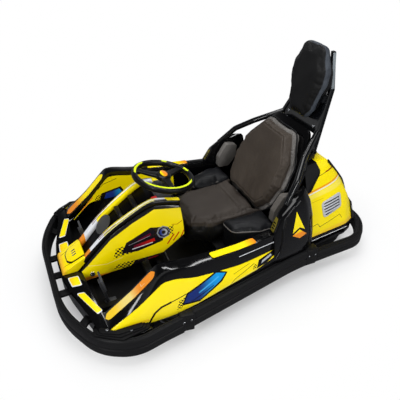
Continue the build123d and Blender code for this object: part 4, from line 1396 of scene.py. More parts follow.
@dataclass
class SidePods:
    """The side pods: black sill rails with inlaid strips over painted outer panels."""

    kart: Kart
    stations: tuple = (
        (0.742, pairs(405, 187, 405, 203, 480, 203, 503, 199, 512, 187)),
        (0.6, pairs(407, 285, 415, 312, 482, 312, 506, 286, 527, 187)),
        (0.48, pairs(402, 290, 424, 424, 486, 424, 503, 378, 533, 187)),
        (0.44, pairs(401, 290, 426, 433, 487, 433, 503, 384, 532, 187)),
        (0.4, pairs(400, 290, 426, 428, 486, 427, 502, 378, 531, 187)),
        (0.3, pairs(398, 285, 422, 408, 482, 405, 497, 345, 523, 187)),
        (0.06, pairs(385, 225, 405, 388, 458, 386, 470, 300, 484, 187)),
        (-0.16, pairs(365, 225, 385, 380, 428, 378, 436, 290, 446, 187)),
    )

    def build(self) -> None:
        """Make the rails, the panels and the strips."""
        self.rails()
        self.panels()
        self.inner()
        self.strips()

    def rails(self) -> None:
        """Black rails: a rounded cap with a wall down each side."""
        kart = self.kart
        table = []
        for x, (foot, inner, outer, shoulder, _) in self.stations:
            wall = 0.01
            row = [foot, inner, outer, shoulder, (shoulder[0] - wall, shoulder[1] + 0.002)]
            drop = min(wall, max((inner[1] - foot[1]) * 0.5, 0.004))
            row += [(outer[0] - wall, outer[1] - drop), (inner[0] + wall, inner[1] - drop), (foot[0] + wall, foot[1])]
            table.append((x, row))
        rail = Bench.skin("pod_sill_left", eased(table, 6), ring=True, caps=True)
        Bench.bevel(rail, 0.007, 3, 30)
        kart.pair(rail, kart.finish.gloss, "gloss_black", "pod_rail_left")

    def panels(self) -> None:
        """Yellow outer panels, bowed, with an arc line, a blue arrow and pinstripes."""
        kart = self.kart
        table = []
        for x, (_, _, _, shoulder, foot) in self.stations:
            row = []
            for step in range(8):
                t = step / 7
                bow = 0.008 * math.sin(math.pi * t) + 0.002
                y, z = blend(shoulder, foot, t)
                row.append((y + bow, z - 0.001))
            table.append((x, row))
        panel = Bench.skin("pod_side_left", eased(table, 6), out=(0, 1, 0.2))
        panel = Bench.bevel(Bench.wall(panel, 0.006), 0.002, 2, 50)
        layers = (
            Patch(srgb(252, 228, 30), pairs(600, 160, 600, 300, 440, 380, 300, 360, 400, 160), soft=0.04),
            Stroke(Hue.ORANGE, pairs(690, 200, 560, 206), 0.003),
            Stroke(Hue.ORANGE, pairs(660, 208, 562, 214), 0.002),
            Stroke(Hue.BLACK, pairs(562, 180, 550, 206, 530, 238, 496, 262, 450, 272), 0.011),
            Stroke(Hue.BLACK, pairs(450, 272, 400, 280, 372, 286), 0.005),
            Patch(Hue.BLACK, pairs(396, 226, 368, 288, 195, 330, 134, 298, 170, 262, 300, 206)),
            Patch(
                srgb(22, 44, 112), pairs(385, 234, 361, 280, 198, 320, 147, 298, 178, 272, 298, 217),
                (0.31, 0.19, Hue.CYAN),
            ),
            Stroke(srgb(70, 180, 240), pairs(300, 262, 190, 296), 0.006, 0.004),
            Stroke(srgb(8, 14, 40), pairs(345, 228, 220, 262), 0.005, 0.002),
            Patch(Hue.BLACK, pairs(424, 212, 408, 262, 376, 270, 396, 212), check=0.009),
            Stroke(Hue.BLACK, pairs(118, 214, 90, 236, 20, 256, -30, 270), 0.003),
            Stroke(Hue.BLACK, pairs(100, 268, 50, 276, 0, 282), 0.002),
            Patch(Hue.BLACK, pairs(-44, 232, -60, 276, -158, 290, -176, 268, -110, 236)),
            Patch(Hue.SILVER, pairs(-76, 250, -82, 264, -140, 278, -146, 268), soft=0.002),
            Patch(Hue.BLACK, pairs(-20, 236, -26, 262, -46, 262, -42, 236), check=0.008),
            Patch(Hue.BLACK, pairs(420, 160, 420, 189, 100, 213, -200, 234, -200, 160), soft=0.0012),
            Patch(Hue.BLACK, pairs(-50, 160, -50, 225, -200, 256, -200, 160), soft=0.0012),
            Stroke(srgb(196, 190, 150), pairs(360, 198.5, 100, 217.5, -60, 228.5), 0.0016),
        )
        paint = Plastic("pod_yellow", Hue.YELLOW, 0.18, 0.7, layers=layers).make()
        kart.pair(panel, paint, "body_yellow", "pod_panel_left")

    def inner(self) -> None:
        """Yellow linings on the footwell side of the sills, each with a dark flash and a blue arrow."""
        kart = self.kart
        table = []
        for x, (foot, inner, _, _, _) in self.stations[:7]:
            top, low = inner[1] - 0.026, min(foot[1] - 0.014, inner[1] - 0.02)
            slope = (inner[0] - foot[0]) / max(inner[1] - foot[1], 0.001)
            row = []
            for step in range(6):
                z = top + (low - top) * step / 5
                row.append((foot[0] + slope * (z - foot[1]) - 0.0035, z))
            table.append((x - (0.03 if x > 0.7 else 0.0), row))
        lining = Bench.wall(Bench.skin("pod_lining_left", eased(table, 6), out=(0, -1, 0)), 0.003)
        layers = (
            Patch(Hue.BLACK, pairs(545, 272, 520, 316, 402, 334, 384, 300, 430, 272)),
            Patch(Hue.BLUE, pairs(512, 276, 496, 310, 412, 322, 400, 300, 436, 276), (0.46, 0.4, Hue.CYAN)),
            Patch(Hue.BLACK, pairs(575, 272, 556, 306, 522, 312, 540, 272), check=0.008),
            Stroke(Hue.BLACK, pairs(660, 240, 580, 318, 500, 372, 420, 388), 0.003),
            Stroke(Hue.ORANGE, pairs(660, 226, 580, 300), 0.006, 0.002),
        )
        kart.pair(lining, Plastic("lining_yellow", Hue.YELLOW, 0.2, 0.6, layers=layers).make(), "body_yellow")

    def top_at(self, x: float) -> tuple[float, float, float]:
        """Inner edge, outer edge and height of the sill's top at a place along the kart."""
        row = station_at(self.stations, x)
        return row[1][0], row[2][0], row[1][1]

    def strip(self, name: str, start: float, end: float, width: float, lean: float, blunt: bool) -> Thing:
        """A rounded strip let into the top of the sill.

        Args:
            name: the strip's name.
            start, end: where it begins and ends along the kart.
            width: how wide it is.
            lean: its place between the sill's edges, from 0 to 1.
            blunt: whether its ends are nearly square.

        Returns:
            The strip.
        """
        count = 26
        path, widths = [], []
        for step in range(count + 1):
            t = step / count
            x = between(start, end, t)
            inner, outer, height = self.top_at(x)
            path.append((x, between(inner, outer, lean), height + 0.0008))
            cap = min(min(t, 1 - t) * abs(end - start) / (width / 2), 1.0)
            widths.append(max(min(cap * 4, 1.0), 0.8) if blunt else max(math.sqrt(max(1 - (1 - cap) ** 2, 0.0)), 0.12))
        return Bench.sweep(name, path, flat_bar(width / 2, 0, 0.0022, 0.94), (0, 0, 1), False, widths)

    def strips(self) -> None:
        """The long strip on the rising rail, the short one beside the seat, and a white painted highlight along the
        sill's outer edge.
        """
        kart = self.kart
        front = Bench.smooth(self.strip("pod_strip_left", 0.738, 0.492, 0.046, 0.46, False))
        fine = (
            Stroke(srgb(236, 200, 150), pairs(615, 437, 615, 455, 600, 455), 0.002),
            Stroke(srgb(236, 200, 150), pairs(560, 437, 560, 455, 545, 455), 0.002),
            Stroke(srgb(120, 110, 60), pairs(735, 470, 500, 474), 0.0012),
        )
        sand = srgb(238, 214, 120)
        full = pairs(400, -600, 800, -600, 800, 600, 400, 600)
        lower = pairs(610, -600, 800, -600, 800, 600, 610, 600)
        near = (Patch(Hue.ORANGE, full, (0.565, 0.625, sand)), Patch(sand, lower, (0.64, 0.7, srgb(248, 206, 40))))
        far = (Patch(Hue.YELLOW, full, (0.6, 0.69, Hue.ORANGE)),) + fine
        paint = Plastic("strip_left", Hue.ORANGE, 0.2, 0.6, plane=Plane.TOP, layers=near + fine).make()
        pieces = kart.pair(front, paint, "body_yellow")
        pieces[1].data.materials[0] = Plastic("strip_right", Hue.YELLOW, 0.2, 0.6, plane=Plane.TOP, layers=far).make()
        short = Bench.smooth(self.strip("sill_strip_left", 0.21, -0.046, 0.04, 0.58, True))
        layers = (Patch(Hue.YELLOW, pairs(-100, -600, 300, -600, 300, 600, -100, 600), (0.03, -0.05, Hue.ORANGE)),)
        paint = Plastic("sill_strip", Hue.YELLOW, 0.2, 0.6, plane=Plane.TOP, layers=layers).make()
        kart.pair(short, paint, "body_yellow")
        # painted highlight: a thin white line along the sill's outer edge stands in for the light that edge catches
        white = Plastic("highlight_white", Hue.WHITE, 0.25, 0.4).make()
        rows = []
        for step in range(15):
            x = 0.06 - 0.22 * step / 14
            _, outer, height = self.top_at(x)
            rows.append((x, outer + 0.006, height - 0.04))
        lines = [Bench.sweep("line", rows, circle(0.0016, 6))]
        kart.pair(Bench.join("sill_line_left", lines), white, "rail_white")


@dataclass
class RearBody:
    """The rear of the body: hip guards, painted covers, vents, crown and skirt."""

    kart: Kart
    guards: tuple = (
        (-0.16, pairs(365, 225, 385, 380, 428, 378, 446, 187)),
        (-0.2, pairs(352, 225, 372, 462, 408, 458, 441, 187)),
        (-0.29, pairs(338, 225, 345, 532, 386, 526, 427, 187)),
        (-0.465, pairs(312, 225, 312, 579, 342, 573, 409, 187)),
    )
    edge: tuple = pairs(100, -456, 300, -453, 450, -434, 530, -400, 575, -372, 640, -345)
    covers: tuple = (
        (-0.445, pairs(130, 611, 237, 611, 302, 440, 364, 200)),
        (-0.6, pairs(130, 611, 232, 611, 292, 440, 352, 200)),
        (-0.735, pairs(130, 452, 225, 452, 280, 400, 340, 200)),
        (-0.805, pairs(130, 315, 215, 315, 268, 290, 310, 200)),
    )
    wall: float = 0.012
    bow: float = 0.014
    fold_out: Point = (0.9, 0, 0.44)
    vent_out: Point = (0, 0.958, 0.287)
    vent_corners: tuple = trios(-544, 388, 22, -690, 414, 22, -700, 322, 22, -562, 290, 22)

    def build(self) -> None:
        """Make the guards, the covers and the tail."""
        self.guard()
        self.cover()
        self.tail()

    def guard(self) -> None:
        """Glossy hip guards with a rounded rear edge, a yellow arrowhead and, on the fold at the front, an olive plate
        painted as a reflection.
        """
        kart = self.kart
        rows = []
        front = self.guards[0][0]
        for step in range(25):
            t = step / 24
            row = []
            for index in range(14):
                x, z = front - 0.28 * t, 0.4
                for _ in range(5):
                    x = front + (self.edge_at(z) - front) * t
                    y, z = self.section(x)[index]
                fall = math.sin(math.pi * min(t, 1.0)) * 0.008 - 0.022 * max(t - 0.82, 0.0) / 0.18
                row.append((x, y + (fall if index > 1 else 0.0), z))
            rows.append(row)
        guard = Bench.bevel(Bench.skin("hip_fender_left", rows, ring=True, caps=True), 0.007, 3, 32)
        kart.pair(Bench.smooth(guard, 50), kart.finish.gloss, "gloss_black", "hip_guard_left")
        head = self.on_guard("arrow_top", pairs(-300, 470, -362, 346, -322, 372, -276, 352))
        tail = self.on_guard("arrow_low", pairs(-276, 336, -324, 358, -378, 312, -330, 300))
        layers = (Patch(Hue.ORANGE, pairs(-500, 200, -200, 200, -200, 345, -500, 345), soft=0.012),)
        paint = Plastic("arrow_yellow", Hue.YELLOW, 0.2, 0.6, layers=layers).make()
        kart.pair(Bench.join("guard_arrow_left", [head, tail]), paint, "body_yellow")
        self.fold()
        pad = pairs(-208, 370, -214, 444, -266, 524, -336, 510, -330, 430, -285, 370)
        points = [(x, 0.338 + x * 0.03, z) for x, z in rounded([(x, z, 0.02) for x, z in pad], True, 4)]
        cushion = Bench.bevel(Bench.plate("hip_pad_left", points, (0, -0.036, 0), 0.001), 0.013, 4, 50)
        for piece in kart.pair(Bench.smooth(cushion, 60), kart.finish.taupe, "seat_brown"):
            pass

    def fold(self) -> None:
        """An olive plate with slits on the guard's front fold, its olive a painted reflection in the fold's dark inset,
        and a rib down its side.
        """
        kart = self.kart
        out = Vector(self.fold_out)
        ends = ((0.12, 0.14), (0.12, 0.8), (0.55, 0.86), (0.92, 0.74), (0.92, 0.2))
        shape = [tuple(self.fold_at(t, a)) for t, a in ends]
        # painted reflection: the olive plate stands in for an olive reflection in the dark inset of the fold
        olive = Plastic("olive_reflection_paint", srgb(104, 94, 30), 0.2, 0.5).make()
        kart.pair(Bench.plate("guard_inlay_left", shape, out * 0.0022, 0.0006), olive, "body_yellow")
        run = pairs(-330, 515, -275, 492, -232, 455, -214, 400, -212, 330, -200, 270, -178, 235)
        path = [(x, self.side_at(x, z) - 0.003, z) for x, z in rounded([(x, z, 0.03) for x, z in run], False, 5)]
        rib = Bench.smooth(Bench.sweep("guard_rib_left", path, circle(0.008, 12), (0, 1, 0)), 60)
        kart.pair(rib, kart.finish.gloss, "gloss_black")
        slits = []
        for t in (0.26, 0.42, 0.58):
            places = ((t, 0.26), (t, 0.7), (t + 0.07, 0.7), (t + 0.07, 0.26))
            corner = [tuple(self.fold_at(u, a) + out * 0.0018) for u, a in places]
            slits.append(Bench.plate("slit", corner, out * 0.0016, 0.0004))
        kart.pair(Bench.join("guard_slits_left", slits), kart.finish.gloss, "gloss_black")

    def fold_at(self, t: float, across: float) -> Vector:
        """A place just off the guard's front fold."""
        ends = [Vector((x, *blend(row[1], row[2], across))) for x, row in self.guards[:2]]
        return ends[0].lerp(ends[1], t) + Vector(self.fold_out) * 0.0035

    def edge_at(self, z: float) -> float:
        """Where the guard's rear edge lies.

        Args:
            z: the height.

        Returns:
            The place along the kart.
        """
        for (a, first), (b, second) in zip(self.edge, self.edge[1:]):
            if z <= b:
                return first + (second - first) * (z - a) / (b - a)
        return self.edge[-1][1]

    def section(self, x: float) -> list[tuple[float, float]]:
        """The guard's section at a place along the kart, bowed on its outer side.

        Args:
            x: the place.

        Returns:
            The points round the section.
        """
        foot, inner, outer, low = station_at(self.guards, x)
        side = []
        for t in (0.22, 0.48, 0.75):
            y, z = blend(outer, low, t)
            side.append((y + self.bow * math.sin(math.pi * t), z))
        wall = self.wall
        crown = ((inner[0] + outer[0]) / 2, (inner[1] + outer[1]) / 2 + 0.006)
        row = [foot, inner, crown, outer] + side + [low, (low[0] - wall, low[1])]
        row += [(side[1][0] - wall, side[1][1]), (outer[0] - wall, outer[1] - wall)]
        row += [(crown[0], crown[1] - wall), (inner[0] + wall, inner[1] - wall), (foot[0] + wall, foot[1])]
        return row

    def side_at(self, x: float, z: float) -> float:
        """How far out the guard's outer face is.

        Args:
            x, z: the place along the kart and its height.

        Returns:
            The distance from the middle.
        """
        top, low = station_at(self.guards, x)[2:]
        fall = (top[1] - z) / (top[1] - low[1])
        bow = math.sin(math.pi * min(max(fall, 0), 1)) * self.bow
        return between(top[0], low[0], fall) + bow + 0.006

    def on_guard(self, name: str, shape: Sequence[Point]) -> Thing:
        """A thin badge laid on the guard's outer face."""
        points = [(x, self.side_at(x, z) - 0.001, z) for x, z in shape]
        return Bench.plate(name, points, (0, 0.0042, 0.0008), 0.001)

    def cover(self) -> None:
        """Yellow covers over the rear wheels, with panel lines, stripes and a chrome vent."""
        kart = self.kart
        table = []
        for x, corners in self.covers:
            row: Row = []
            for a, b in zip(corners, corners[1:]):
                row += [blend(a, b, t) for t in (0, 0.25, 0.5, 0.75)]
            table.append((x, row + [corners[-1]]))
        cover = Bench.skin("rear_panel_left", eased(table, 6), out=(0, 1, 1))
        cover = Bench.bevel(Bench.wall(cover, 0.006), 0.004, 3, 24)
        layers = (
            Patch(srgb(250, 232, 80), pairs(-440, 424, -440, 446, -760, 484, -760, 450), soft=0.004),
            Stroke(Hue.ORANGE, pairs(-440, 462, -600, 484, -740, 502), 0.008, 0.003),
            Stroke(Hue.WHITE, pairs(-440, 452, -600, 474, -740, 490), 0.006, 0.003),
            Stroke(Hue.BLACK, pairs(-440, 520, -600, 552, -640, 556, -600, 600), 0.003),
            Stroke(srgb(150, 40, 10), pairs(-585, 552, -640, 562), 0.006),
            Stroke(Hue.BLACK, pairs(-440, 258, -520, 270, -537, 246, -688, 276, -704, 250), 0.003),
            Stroke(srgb(190, 160, 10), pairs(-440, 405, -560, 412), 0.002),
            Patch(srgb(246, 204, 40), pairs(-430, 190, -430, 212, -820, 226, -820, 190), soft=0.01),
            Patch(Hue.BLACK, pairs(-430, 455, -430, 660, -500, 660, -546, 568, -542, 546, -478, 470), soft=0.0012),
        )
        paint = Plastic("cover_yellow", Hue.YELLOW, 0.19, 0.7, layers=layers).make()
        kart.pair(cover, paint, "body_yellow", "rear_cover_left")
        self.vent()

    def cover_at(self, x: float, z: float) -> float:
        """How far out the cover's lower face is, at a place along the kart and a height."""
        fold, foot = station_at(self.covers, x)[2:]
        return foot[0] + (fold[0] - foot[0]) * (z - foot[1]) / (fold[1] - foot[1])

    def vent(self) -> None:
        """A chrome vent in the cover: a rim, a dark well and five louvres, the rim and louvres a pale plastic with the
        chrome's reflection painted in.
        """
        kart = self.kart
        lines = [self.vent_line(*step) for step in ((0.0, -0.002), (0.001, 0.005), (0.01, 0.006), (0.013, -0.002))]
        rim = Bench.skin("vent_rim_left", lines, ring=True, loop=True)
        # painted reflection: the chrome rim and louvres are a pale plastic colour that stands in for the bright
        # surroundings chrome would mirror
        silver = Plastic("vent_painted_chrome", srgb(186, 189, 194), 0.22, 0.8, shine=0.6).make()
        kart.pair(Bench.bevel(rim, 0.0008, 2, 30), silver, "rim_silver")
        well = Bench.plate("vent_well_left", self.vent_line(0.011, 0.0012), Vector(self.vent_out) * 0.0014, 0.0003)
        kart.pair(well, kart.finish.gloss, "gloss_black")
        slats = []
        section = [(-0.0042, -0.002), (0.0042, 0.001), (0.0042, 0.003), (-0.0042, 0.001)]
        for step in range(5):
            z = 0.318 + step * 0.017
            lean = (z - 0.3) * 0.16
            start, end = -0.572 + lean * 1.4, -0.68 + lean * 0.5
            path = []
            for x in (start, (start + end) / 2, end):
                height = z + (0.548 + x) * -0.09
                path.append((x, self.cover_at(x, height) + 0.0045, height))
            slats.append(Bench.sweep("slat", path, section, (0, 0.96, 0.29)))
        kart.pair(Bench.bevel(Bench.join("vent_slats_left", slats), 0.0007, 2, 30), silver, "rim_silver")

    def vent_line(self, shrink: float, lift: float) -> list[Point]:
        """A rounded line round the vent.

        Args:
            shrink: how far inside the rim it lies.
            lift: how far off the cover it stands.

        Returns:
            Its points.
        """
        middle = Vector((-0.624, 0.353))
        points = []
        for x, z in rounded(self.vent_corners, True, 5):
            spot = middle + (Vector((x, z)) - middle) * (1 - shrink / 0.06)
            place = Vector((spot.x, self.cover_at(spot.x, spot.y), spot.y))
            points.append(tuple(place + Vector(self.vent_out) * lift))
        return points

    def tail(self) -> None:
        """The yellow crown between the covers, the black skirt with a white painted highlight along it, and a black rim
        behind.
        """
        kart = self.kart
        layers = (
            Patch(Hue.BLACK, pairs(-820, 100, -700, 100, -800, 330, -820, 330), soft=0.002),
            Patch(Hue.BLACK, pairs(-430, 470, -430, 660, -476, 660, -492, 492), soft=0.0012),
        )
        paint = Plastic("crown_yellow", Hue.YELLOW, 0.2, 0.7, layers=layers).make()
        kart.dress("rear_tail", "rear_crown", (0.004, 3, 20), paint, "body_yellow")
        kart.dress("rear_skirt", "rear_skirt_bar", (0.004, 3, 30), kart.finish.gloss, "gloss_black")
        # painted highlight: a thin white line along the black skirt stands in for the light on its edge
        path = trios(-470, 373.5, 186, -600, 362.5, 186, -740, 350, 186)
        line = Bench.sweep("skirt_line_left", path, circle(0.0016, 6))
        kart.pair(line, Plastic("skirt_highlight_white", Hue.WHITE, 0.25, 0.4).make(), "rail_white")
        upper = [(x - 0.002, [(y, z)]) for x, y, z in trios(-600, 235, 609, -735, 228, 452, -806, 217, 314)]
        run = [row[0] for row in eased(upper, 6)] + list(trios(-812, 270, 288, -812, 312, 200))
        rim = Bench.sweep("tail_rim_left", run, circle(0.006, 10), (0, 1, 0))
        kart.pair(Bench.smooth(rim, 50), kart.finish.gloss, "gloss_black")


@dataclass
class RollFrame:
    """The headrest frame: two flat legs, the side tubes, plates and bolts."""

    kart: Kart

    def build(self) -> None:
        """Dress the frame and bolt it."""
        kart = self.kart
        gloss = Plastic("frame_gloss", srgb(11, 12, 14), 0.16, 1.2, shine=0.35).make()
        kart.dress("roll_frame", "headrest_frame", (0.004, 3, 35), gloss, "frame_black")
        heads = []
        for side in (-1, 1):
            heads.append(Bench.bolt("head", (-0.5645, side * 0.115, 0.765), (0.93, 0, 0.37), 0.008))
        for side in (-1, 1):
            heads.append(Bench.bolt("head", (-0.475, side * 0.224, 0.52), (0, side, 0), 0.008))
        kart.add(Bench.join("frame_bolts", heads), kart.finish.chrome, "column_steel")
        self.shell()
        # painted highlight: a pale strip on the outer face of each leg stands in for the white that face reflects
        path = [(-0.6475, 0.1178, 0.962), (-0.6445, 0.104, 1.05), (-0.6425, 0.09, 1.14)]
        strip = Bench.sweep("leg_strip_left", path, flat_bar(0.009, 0.0, 0.0024), (0, 1, 0.16))
        pale = Plastic("leg_strip", srgb(126, 133, 137), 0.24, 0.3).make()
        kart.pair(Bench.bevel(strip, 0.0008, 2, 30), pale, "frame_black")

    def shell(self) -> None:
        """A moulded shell that fills the room between the headrest pad and the legs."""
        up = Vector((-math.sin(HEADREST_LEAN), 0, math.cos(HEADREST_LEAN)))
        out = Vector((math.cos(HEADREST_LEAN), 0, math.sin(HEADREST_LEAN)))
        half = trios(54, -190, 25, 90, -145, 40, 128, 0, 60, 123, 58, 60, 72, 143, 45)
        near, far = [], []
        for u, v in rounded(whole(half), True, 6):
            spot = Vector((-0.556, u, 1.0)) + up * v - out * 0.047
            near.append(tuple(spot))
            behind = max(-0.632, -0.43 - 0.396 * (spot.z - 0.43))
            far.append((min(behind, spot.x - 0.001), u * 0.97, spot.z))
        obj = Bench.skin("headrest_shell", [near, far], ring=True, caps=True)
        self.kart.add(Bench.bevel(obj, 0.003, 2, 50), self.kart.finish.satin, "bumper_black")


@dataclass
class Seat:
    """The seat: padded base, side bolsters, back and headrest, with piping and seams."""

    OUTLINE = pairs(165, 0, 234, 85, 257, 205, 240, 340, 128, 500)
    SOLID = pairs(150, 0, 246, 190, 232, 330, 126, 500)
    ROOT_X = -0.2
    ROOT_Z = 0.33
    ROOT = Vector((ROOT_X, 0, ROOT_Z))
    LEAN = math.radians(26.8)
    UP = Vector((-math.sin(LEAN), 0, math.cos(LEAN)))
    OUT = Vector((math.cos(LEAN), 0, math.sin(LEAN)))

    kart: Kart
    voxel: float = 0.006

    def build(self) -> None:
        """Fill the pads and sew them."""
        kart = self.kart
        base = self.pad("seat_base", "seat_cushion", 0.002, 5.0, 0.014)
        Bench.press(base, self.base_seams)
        kart.add(base, self.base_leather(), "seat_brown", "seat_base")
        for side in ("left", "right"):
            bolster = self.pad(f"seat_bolster_{side}", f"seat_side_{side}", -0.002, 6.0, 0.018)
            kart.add(bolster, kart.finish.coal, "seat_black", f"seat_bolster_{side}")
        back = self.pad("seat_back", "seat_backrest", 0.001, 5.0, 0.018)
        self.widen(back)
        Bench.press(back, self.back_seams)
        kart.add(back, self.back_leather(), "seat_brown", "seat_back")
        rest = self.pad("headrest_pad", "headrest_cushion", -0.004, 3.0, 0.009)
        for vertex in rest.data.vertices:
            vertex.co.z += max(vertex.co.z - 1.0, 0.0) * 0.15
        kart.add(rest, self.rest_leather(), "seat_black", "headrest_pad")
        self.piping()
        self.shell()
        kart.dress("seat_shell", "seat_tray", (0.003, 2, 30), kart.finish.pan, "pan_black")

    def pad(self, node: str, name: str, shrink: float, pressure: float, cap: float) -> Thing:
        """Copy a pad's solid, draw it in a little and fill it.

        Args:
            node: the solid's node.
            name: the pad's name.
            shrink: how far it is drawn in.
            pressure: how hard it is filled.
            cap: the farthest that a point moves.

        Returns:
            The pad.
        """
        obj = Bench.bevel(Bench.cad_copy(node, name), 0.018, 4, 40)
        Bench.apply(obj, "REMESH", {"mode": "VOXEL", "voxel_size": self.voxel})
        Bench.apply(obj, "DISPLACE", {"strength": -shrink, "mid_level": 0.0})
        return Bench.swell(obj, self.voxel, pressure, cap)

    @staticmethod
    def lie(x: "float | Sock", z: "float | Sock") -> tuple:
        """Turn a place into the back's own directions.

        Args:
            x, z: the place along the kart and its height.

        Returns:
            How far it lies up the back, and how far in front.
        """
        ahead, above = x - Seat.ROOT_X, z - Seat.ROOT_Z
        sine, cosine = math.sin(Seat.LEAN), math.cos(Seat.LEAN)
        return above * cosine - ahead * sine, ahead * cosine + above * sine

    @staticmethod
    def half_at(outline: Sequence[Point], along: float) -> float:
        """Half the width of an outline at a height.

        Args:
            outline: pairs of half width and height.
            along: the height.

        Returns:
            The half width.
        """
        for a, b in zip(outline, outline[1:]):
            if along <= b[1]:
                return a[0] + (b[0] - a[0]) * max(along - a[1], 0.0) / (b[1] - a[1])
        return outline[-1][0]

    def widen(self, obj: Thing) -> None:
        """Spread the back's lower half to the fuller outline of a stuffed cover.

        Args:
            obj: the back.
        """
        for vertex in obj.data.vertices:
            along = self.lie(vertex.co.x, vertex.co.z)[0]
            vertex.co.y *= self.half_at(self.OUTLINE, along) / self.half_at(self.SOLID, along)

    def shell(self) -> None:
        """A black moulded shell behind the back, a little wider than the cushion."""
        half = [(u + 0.016, v + (0.028 if v > 0.4 else 0.0), 0.05) for u, v in self.OUTLINE]
        ring = rounded(whole(half), True, 6)
        points = [tuple(self.ROOT + Vector((0, u, 0)) + self.UP * v - self.OUT * 0.082) for u, v in ring]
        obj = Bench.bevel(Bench.plate("back_shell", points, self.OUT * -0.026, 0.002), 0.008, 3, 50)
        self.kart.add(Bench.smooth(obj, 50), self.kart.finish.gloss, "gloss_black")

    def base_leather(self) -> Material:
        """Brown leather on the base's top, near black down its sides.

        Returns:
            The material.
        """
        shade = Shade("base_leather")
        height = shade.axes(Plane.SIDE)[1]
        cloud = shade.noise(7.0, 4.0).rise(0.35, 0.7)
        brown = shade.mix(cloud * 0.6, srgb(54, 48, 43), srgb(70, 64, 59))
        colour = shade.mix(height.rise(0.318, 0.33), srgb(11, 11, 12), brown)
        grain = shade.cells(420.0) * 0.5 + shade.noise(20.0, 5.0) * 1.0
        return shade.grained(colour, cloud * 0.12 + 0.5, grain, 0.4, 0.002)

    @staticmethod
    def base_seams(spot: Vector) -> float:
        """Depth of the base's sewn lines: two along the kart and two across, puckered.

        Args:
            spot: a place on the base.

        Returns:
            How far it is pushed in.
        """
        pucker = 1 + 0.4 * math.sin(spot.x * 240) * math.cos(spot.y * 190)
        along = math.exp(-(((abs(spot.y) - 0.15) / 0.006) ** 2))
        across = math.exp(-(((spot.x + 0.13) / 0.007) ** 2))
        front = math.exp(-(((spot.x - 0.168) / 0.006) ** 2))
        return 0.004 * pucker * max(along, across, front * 0.7) if spot.z > 0.3 else 0.0

    @staticmethod
    def back_seams(spot: Vector) -> float:
        """Depth of the back's seams: a soft hollow down the middle, folds at the waist and sunk wings.

        Args:
            spot: a place on the back.

        Returns:
            How far it is pushed in.
        """
        height = spot.z - Seat.ROOT_Z
        hollow = 0.006 * math.exp(-((spot.y / 0.11) ** 2)) * math.exp(-(((height - 0.22) / 0.16) ** 2))
        fold = 0.0016 * math.sin(spot.y * 90 + height * 40) * math.exp(-(((height - 0.05) / 0.07) ** 2))
        along, depth = Seat.lie(spot.x, spot.z)
        if depth <= -0.03:
            return hollow + fold
        gap = Seat.inside(abs(spot.y), along)
        wing = 0.026 * (1 - min(max(gap, 0.0) / 0.062, 1.0)) ** 1.4
        return hollow + fold + wing + 0.0035 * math.exp(-(((gap - 0.058) / 0.005) ** 2))

    @staticmethod
    def inside(across: float, along: float) -> float:
        """How far a place on the back lies inside its outline.

        Args:
            across: its distance from the middle.
            along: its height up the back.

        Returns:
            The distance.
        """
        outline = Seat.OUTLINE
        gaps = [along, 0.5 - along]
        for a, b in zip(outline, outline[1:]):
            du, dv = b[0] - a[0], b[1] - a[1]
            gaps.append(((a[0] - across) * dv - (a[1] - along) * du) / math.hypot(du, dv))
        return min(gaps)

    def back_leather(self) -> Material:
        """Brown leather on the face of the back, with the wings round it painted a lighter taupe as painted light on
        its lit sides.

        Returns:
            The material.
        """
        shade = Shade("back_leather")
        x, z = shade.axes(Plane.SIDE)
        y = shade.axes(Plane.TOP)[1]
        along, depth = self.lie(x, z)
        face = Patch(Hue.BLACK, whole(pairs(168, -50, 222, 80, 238, 200, 214, 325, 106, 476)), soft=0.002)
        cloud = shade.noise(7.0, 4.0).rise(0.35, 0.7)
        brown = shade.mix(cloud * 0.6, srgb(60, 52, 45), srgb(74, 66, 58))
        # painted light: the wings are the same brown leather, given a lighter taupe where their sides catch the light
        taupe = shade.mix(cloud * 0.7, srgb(98, 95, 92), srgb(124, 121, 118))
        colour = shade.mix(face.cover(shade, y, along) * depth.rise(-0.034, -0.026), taupe, brown)
        grain = shade.cells(420.0) * 0.4 + shade.noise(15.0, 4.0, (1, 1.4, 0.28)) * 1.6
        return shade.grained(colour, cloud * 0.12 + 0.44, grain, 0.55, 0.0045, 0.28)

    def rest_leather(self) -> Material:
        """Near-black leather on the headrest, with a painted sheen making it greyer round its sides.

        Returns:
            The material.
        """
        shade = Shade("rest_leather")
        x, z = shade.axes(Plane.SIDE)
        depth = (x + 0.556) * math.cos(HEADREST_LEAN) + (z - 1.0) * math.sin(HEADREST_LEAN)
        cloud = shade.noise(8.0, 4.0).rise(0.35, 0.7)
        front = shade.mix(cloud * 0.6, srgb(17, 17, 18), srgb(27, 27, 28))
        # painted sheen: the headrest's sides are the same near-black leather, given a lit blue-grey
        sides = shade.mix(cloud * 0.6, srgb(54, 58, 65), srgb(78, 84, 92))
        colour = shade.mix(depth.rise(-0.012, -0.006), sides, front)
        grain = shade.cells(420.0) * 0.6 + shade.noise(24.0, 5.0) * 0.8
        return shade.grained(colour, cloud * 0.12 + 0.46, grain, 0.3, 0.0016)

    def piping(self) -> None:
        """Cords sewn round the back and the side bolsters."""
        kart = self.kart
        half = [(u - 0.006, v + (0.006 if v < 0.1 else -0.006), 0.06) for u, v in self.OUTLINE]
        root = self.ROOT - self.OUT * 0.04
        path = [tuple(root + Vector((0, u, 0)) + self.UP * v) for u, v in rounded(whole(half), True, 6)]
        face = self.UP.cross(Vector((0, 1, 0)))
        cord = Bench.smooth(Bench.sweep("back_piping", path, circle(0.0036, 8), tuple(face), True), 60)
        kart.add(cord, kart.finish.coal, "seat_brown")
        plan = trios(9, 188, 20, 0, 283, 50, -140, 333.5, 50, -228, 333.5, 20, -228, 188, 20)
        path = [(x, y, 0.342) for x, y in rounded(plan, True, 6)]
        cord = Bench.smooth(Bench.sweep("bolster_piping_left", path, circle(0.0042, 8), loop=True), 60)
        kart.pair(cord, kart.finish.taupe, "seat_brown")


